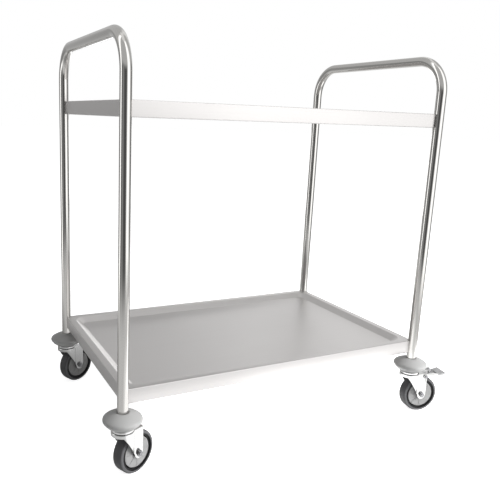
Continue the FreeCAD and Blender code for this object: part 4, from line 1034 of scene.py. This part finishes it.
class CART_OT_stage(bpy.types.Operator):
    """Set up the camera, the white studio, its lamps, and the screens and the card in its mirrors"""

    bl_idname = "cart.stage"
    bl_label = "Studio"

    def execute(self, context):
        scene = context.scene
        scene.view_settings.view_transform = "Standard"
        self.camera(scene)
        self.world(scene)
        self.floor()
        for lamp in LAMPS:
            self.lamp(*lamp)
        self.screens()
        self.card()
        return {"FINISHED"}

    def camera(self, scene):
        stage = settings().stage
        yaw, pitch, roll = stage.camera_yaw, stage.camera_pitch, stage.camera_roll
        ahead = Vector((math.sin(yaw) * math.cos(pitch), math.cos(yaw) * math.cos(pitch), -math.sin(pitch)))
        level = Vector((math.cos(yaw), -math.sin(yaw), 0.0))
        upright = level.cross(ahead)
        right = level * math.cos(roll) + upright * math.sin(roll)
        up = upright * math.cos(roll) - level * math.sin(roll)
        data = bpy.data.cameras.new("photo_camera")
        data.sensor_width = SENSOR_WIDTH
        data.lens = stage.focal_length
        data.shift_x = stage.shift_x
        data.shift_y = stage.shift_y
        data.clip_end = FARTHEST
        camera = bpy.data.objects.new("photo_camera", data)
        scene.collection.objects.link(camera)
        turn = Matrix((right, up, -ahead)).transposed().to_4x4()
        camera.matrix_world = Matrix.Translation(stage.camera_place) @ turn
        scene.camera = camera

    def world(self, scene):
        """White to look at, in mirrors and through glass, and softer as a light."""
        world = bpy.data.worlds.new("studio")
        scene.world = world
        world.use_nodes = True
        tree = world.node_tree
        tree.nodes.clear()
        rays = add_node(tree, "ShaderNodeLightPath").outputs
        shown = calculate(tree, "MAXIMUM", rays["Is Camera Ray"], rays["Is Glossy Ray"])
        shown = calculate(tree, "MAXIMUM", shown, rays["Is Transmission Ray"])
        light = settings().stage.room_light
        soft = add_node(tree, "ShaderNodeBackground", {"Color": WHITE, "Strength": light})
        white = add_node(tree, "ShaderNodeBackground", {"Color": WHITE, "Strength": 1.0})
        mix = self.mix(tree, shown, soft, white)
        add_node(tree, "ShaderNodeOutputWorld", {"Surface": mix.outputs[0]})

    def mix(self, tree, share, first, second):
        return add_node(tree, "ShaderNodeMixShader",
                        {"Fac": share, 1: first.outputs[0], 2: second.outputs[0]})

    def floor(self):
        """White to look at, with a soft shadow; in mirrors it has pools of light and a shaded place."""
        stage = settings().stage
        deselect_all()
        bpy.ops.mesh.primitive_plane_add(size=stage.floor_size, location=(0.0, 0.0, CAD_BOX[0].z))
        floor = bpy.context.active_object
        floor.name = "studio_floor"
        material, tree = empty_material("studio_floor")
        rays = add_node(tree, "ShaderNodeLightPath").outputs
        paint = add_node(tree, "ShaderNodeBsdfDiffuse", {"Color": FLOOR_PAINT})
        glow = add_node(tree, "ShaderNodeEmission", {"Strength": stage.floor_glow})
        lit = add_node(tree, "ShaderNodeAddShader", {0: paint.outputs[0], 1: glow.outputs[0]})
        seen = self.mix(tree, rays["Is Camera Ray"], paint, lit)
        mirrored = add_node(tree, "ShaderNodeEmission", {"Strength": self.mirrored_floor(tree)})
        both = self.mix(tree, rays["Is Glossy Ray"], seen, mirrored)
        add_node(tree, "ShaderNodeOutputMaterial", {"Surface": both.outputs[0]})
        floor.data.materials.append(material)

    def mirrored_floor(self, tree):
        """How bright the floor is in mirrors: plain near the cart, then as the screens beyond it are."""
        place = add_node(tree, "ShaderNodeTexCoord").outputs["Object"]
        far = add_node(tree, "ShaderNodeGroup", {"Vector": place}, node_tree=self.screen_group())
        turning = self.ramp_from(tree, place, (0.0, 0.0, 0.0), FLOOR_TURN, (0.0, 1.0))
        blend = add_node(tree, "ShaderNodeMix", {
            "Factor": turning, "A": settings().stage.near_floor, "B": far.outputs["Brightness"]})
        level = blend.outputs["Result"]
        for middle, full, none, bright in POOLS:
            pool = self.ramp_from(tree, place, middle, (full, none), (bright, 0.0))
            level = calculate(tree, "MAXIMUM", level, pool)
        middle, full, none, left = SHADE
        shade = self.ramp_from(tree, place, middle, (full, none), (left, 1.0))
        return calculate(tree, "MULTIPLY", level, shade)

    def ramp_from(self, tree, place, middle, reach, levels):
        """A value that goes from one level to another with the distance from a place on the floor."""
        distance = add_node(tree, "ShaderNodeVectorMath", {0: place, 1: middle}, operation="DISTANCE")
        return self.smooth_ramp(tree, distance.outputs["Value"], reach, levels)

    def smooth_ramp(self, tree, source, reach, levels):
        """A value that goes softly from one level to another while its source crosses a reach."""
        wiring = {"Value": source, "From Min": reach[0], "From Max": reach[1],
                  "To Min": levels[0], "To Max": levels[1]}
        ramp = add_node(tree, "ShaderNodeMapRange", wiring, interpolation_type="SMOOTHSTEP")
        return ramp.outputs["Result"]

    def lamp(self, name, place, side, power):
        """A square soft lamp that lights the cart, and that its metal doesn't mirror."""
        data = bpy.data.lights.new(name, "AREA")
        data.size = side
        data.energy = power
        lamp = bpy.data.objects.new(name, data)
        bpy.context.scene.collection.objects.link(lamp)
        turn = (LAMP_AIM - Vector(place)).to_track_quat("-Z", "Y").to_matrix().to_4x4()
        lamp.matrix_world = Matrix.Translation(place) @ turn
        lamp.visible_glossy = False

    def screens(self):
        """A ring of studio screens, bright and dark in turn."""
        stage = settings().stage
        deselect_all()
        bpy.ops.mesh.primitive_circle_add(vertices=SCREEN_SIDES, radius=stage.screen_distance,
                                          location=(0, 0, CAD_BOX[0].z))
        ring = begin("studio_screens")
        extrude_edges((0.0, 0.0, stage.screen_height))
        bpy.ops.object.mode_set(mode="OBJECT")
        material, tree = empty_material("studio_screens")
        place = add_node(tree, "ShaderNodeTexCoord").outputs["Object"]
        level = add_node(tree, "ShaderNodeGroup", {"Vector": place}, node_tree=self.screen_group())
        self.glow_in_mirrors(ring, material, level.outputs["Brightness"])

    def card(self):
        """A low bright card behind the cart, which the slope of the left rim mirrors by way of the deck."""
        stage = settings().stage
        place = Vector(stage.card_place)
        deselect_all()
        bpy.ops.mesh.primitive_plane_add(size=1.0)
        card = bpy.context.active_object
        card.name = "studio_card"
        facing = Vector((-place.x, -place.y, 0.0)).to_track_quat("Z", "Y").to_matrix().to_4x4()
        card.data.transform(Matrix.Diagonal((stage.card_width, stage.card_height, 1.0, 1.0)))
        card.data.transform(Matrix.Translation(place) @ facing)
        material, _ = empty_material("studio_card")
        self.glow_in_mirrors(card, material, stage.card_level)

    def glow_in_mirrors(self, thing, material, strength):
        """Let a piece of the studio glow, for the cart's mirrors alone."""
        glow = add_node(material.node_tree, "ShaderNodeEmission", {"Strength": strength})
        add_node(material.node_tree, "ShaderNodeOutputMaterial", {"Surface": glow.outputs[0]})
        thing.data.materials.append(material)
        thing.visible_camera = False
        thing.visible_diffuse = False
        thing.visible_shadow = False

    def screen_group(self):
        """How bright the screens are, by the bearing from the middle of the room and the height."""
        found = bpy.data.node_groups.get("Studio Screens")
        if found:
            return found
        tree, start = new_group("Studio Screens", [("Vector", "NodeSocketVector", None)], ["Brightness"])
        towards = settings().stage.camera_place
        angle = -math.atan2(towards[1], towards[0])
        turn = add_node(tree, "ShaderNodeVectorRotate", {"Vector": start["Vector"], "Angle": angle},
                        rotation_type="Z_AXIS")
        parts = add_node(tree, "ShaderNodeSeparateXYZ", {0: turn.outputs["Vector"]}).outputs
        bearing = calculate(tree, "ARCTAN2", parts["Y"], parts["X"])
        share = add_node(tree, "ShaderNodeMapRange", {
            "Value": bearing, "From Min": -math.pi, "From Max": math.pi}).outputs["Result"]
        ramp = add_node(tree, "ShaderNodeValToRGB", {"Fac": share})
        stops = ramp.color_ramp.elements
        while len(stops) < len(SCREENS):
            stops.new(0.5)
        for stop, (degrees, bright) in zip(stops, SCREENS):
            stop.position = (degrees + 180) / 360
            stop.color = (*(bright / BRIGHTEST_SCREEN,) * 3, 1.0)
        level = calculate(tree, "MULTIPLY", ramp.outputs["Color"], BRIGHTEST_SCREEN)
        ceiling = self.smooth_ramp(tree, parts["Z"], (CEILING_FROM, CEILING_FULL), (0.0, CEILING))
        brighter = calculate(tree, "MAXIMUM", level, ceiling)
        add_node(tree, "NodeGroupOutput", {"Brightness": brighter})
        return tree


class CART_PT_panel(bpy.types.Panel):
    """The cart's pieces in the sidebar"""

    bl_label = "Serving Cart"
    bl_space_type = "VIEW_3D"
    bl_region_type = "UI"
    bl_category = "Cart"

    def draw(self, context):
        for operator in OPERATORS:
            self.layout.operator(operator.bl_idname)


OPERATORS = (CART_OT_end_frames, CART_OT_trays, CART_OT_bumpers, CART_OT_caster_steel, CART_OT_wheels,
             CART_OT_brakes, CART_OT_fastenings, CART_OT_stage)
CLASSES = (CartShapeSettings, CartFinishSettings, CartStageSettings, CartSettings, *OPERATORS, CART_PT_panel)


def register():
    for cls in CLASSES:
        bpy.utils.register_class(cls)
    bpy.types.Scene.cart = PointerProperty(type=CartSettings)


def unregister():
    del bpy.types.Scene.cart
    for cls in reversed(CLASSES):
        bpy.utils.unregister_class(cls)


def main():
    register()
    bpy.ops.cart.end_frames()
    bpy.ops.cart.trays()
    bpy.ops.cart.bumpers()
    bpy.ops.cart.caster_steel()
    bpy.ops.cart.wheels()
    bpy.ops.cart.brakes()
    bpy.ops.cart.fastenings()
    bpy.ops.cart.stage()


if __name__ == "__main__":
    main()
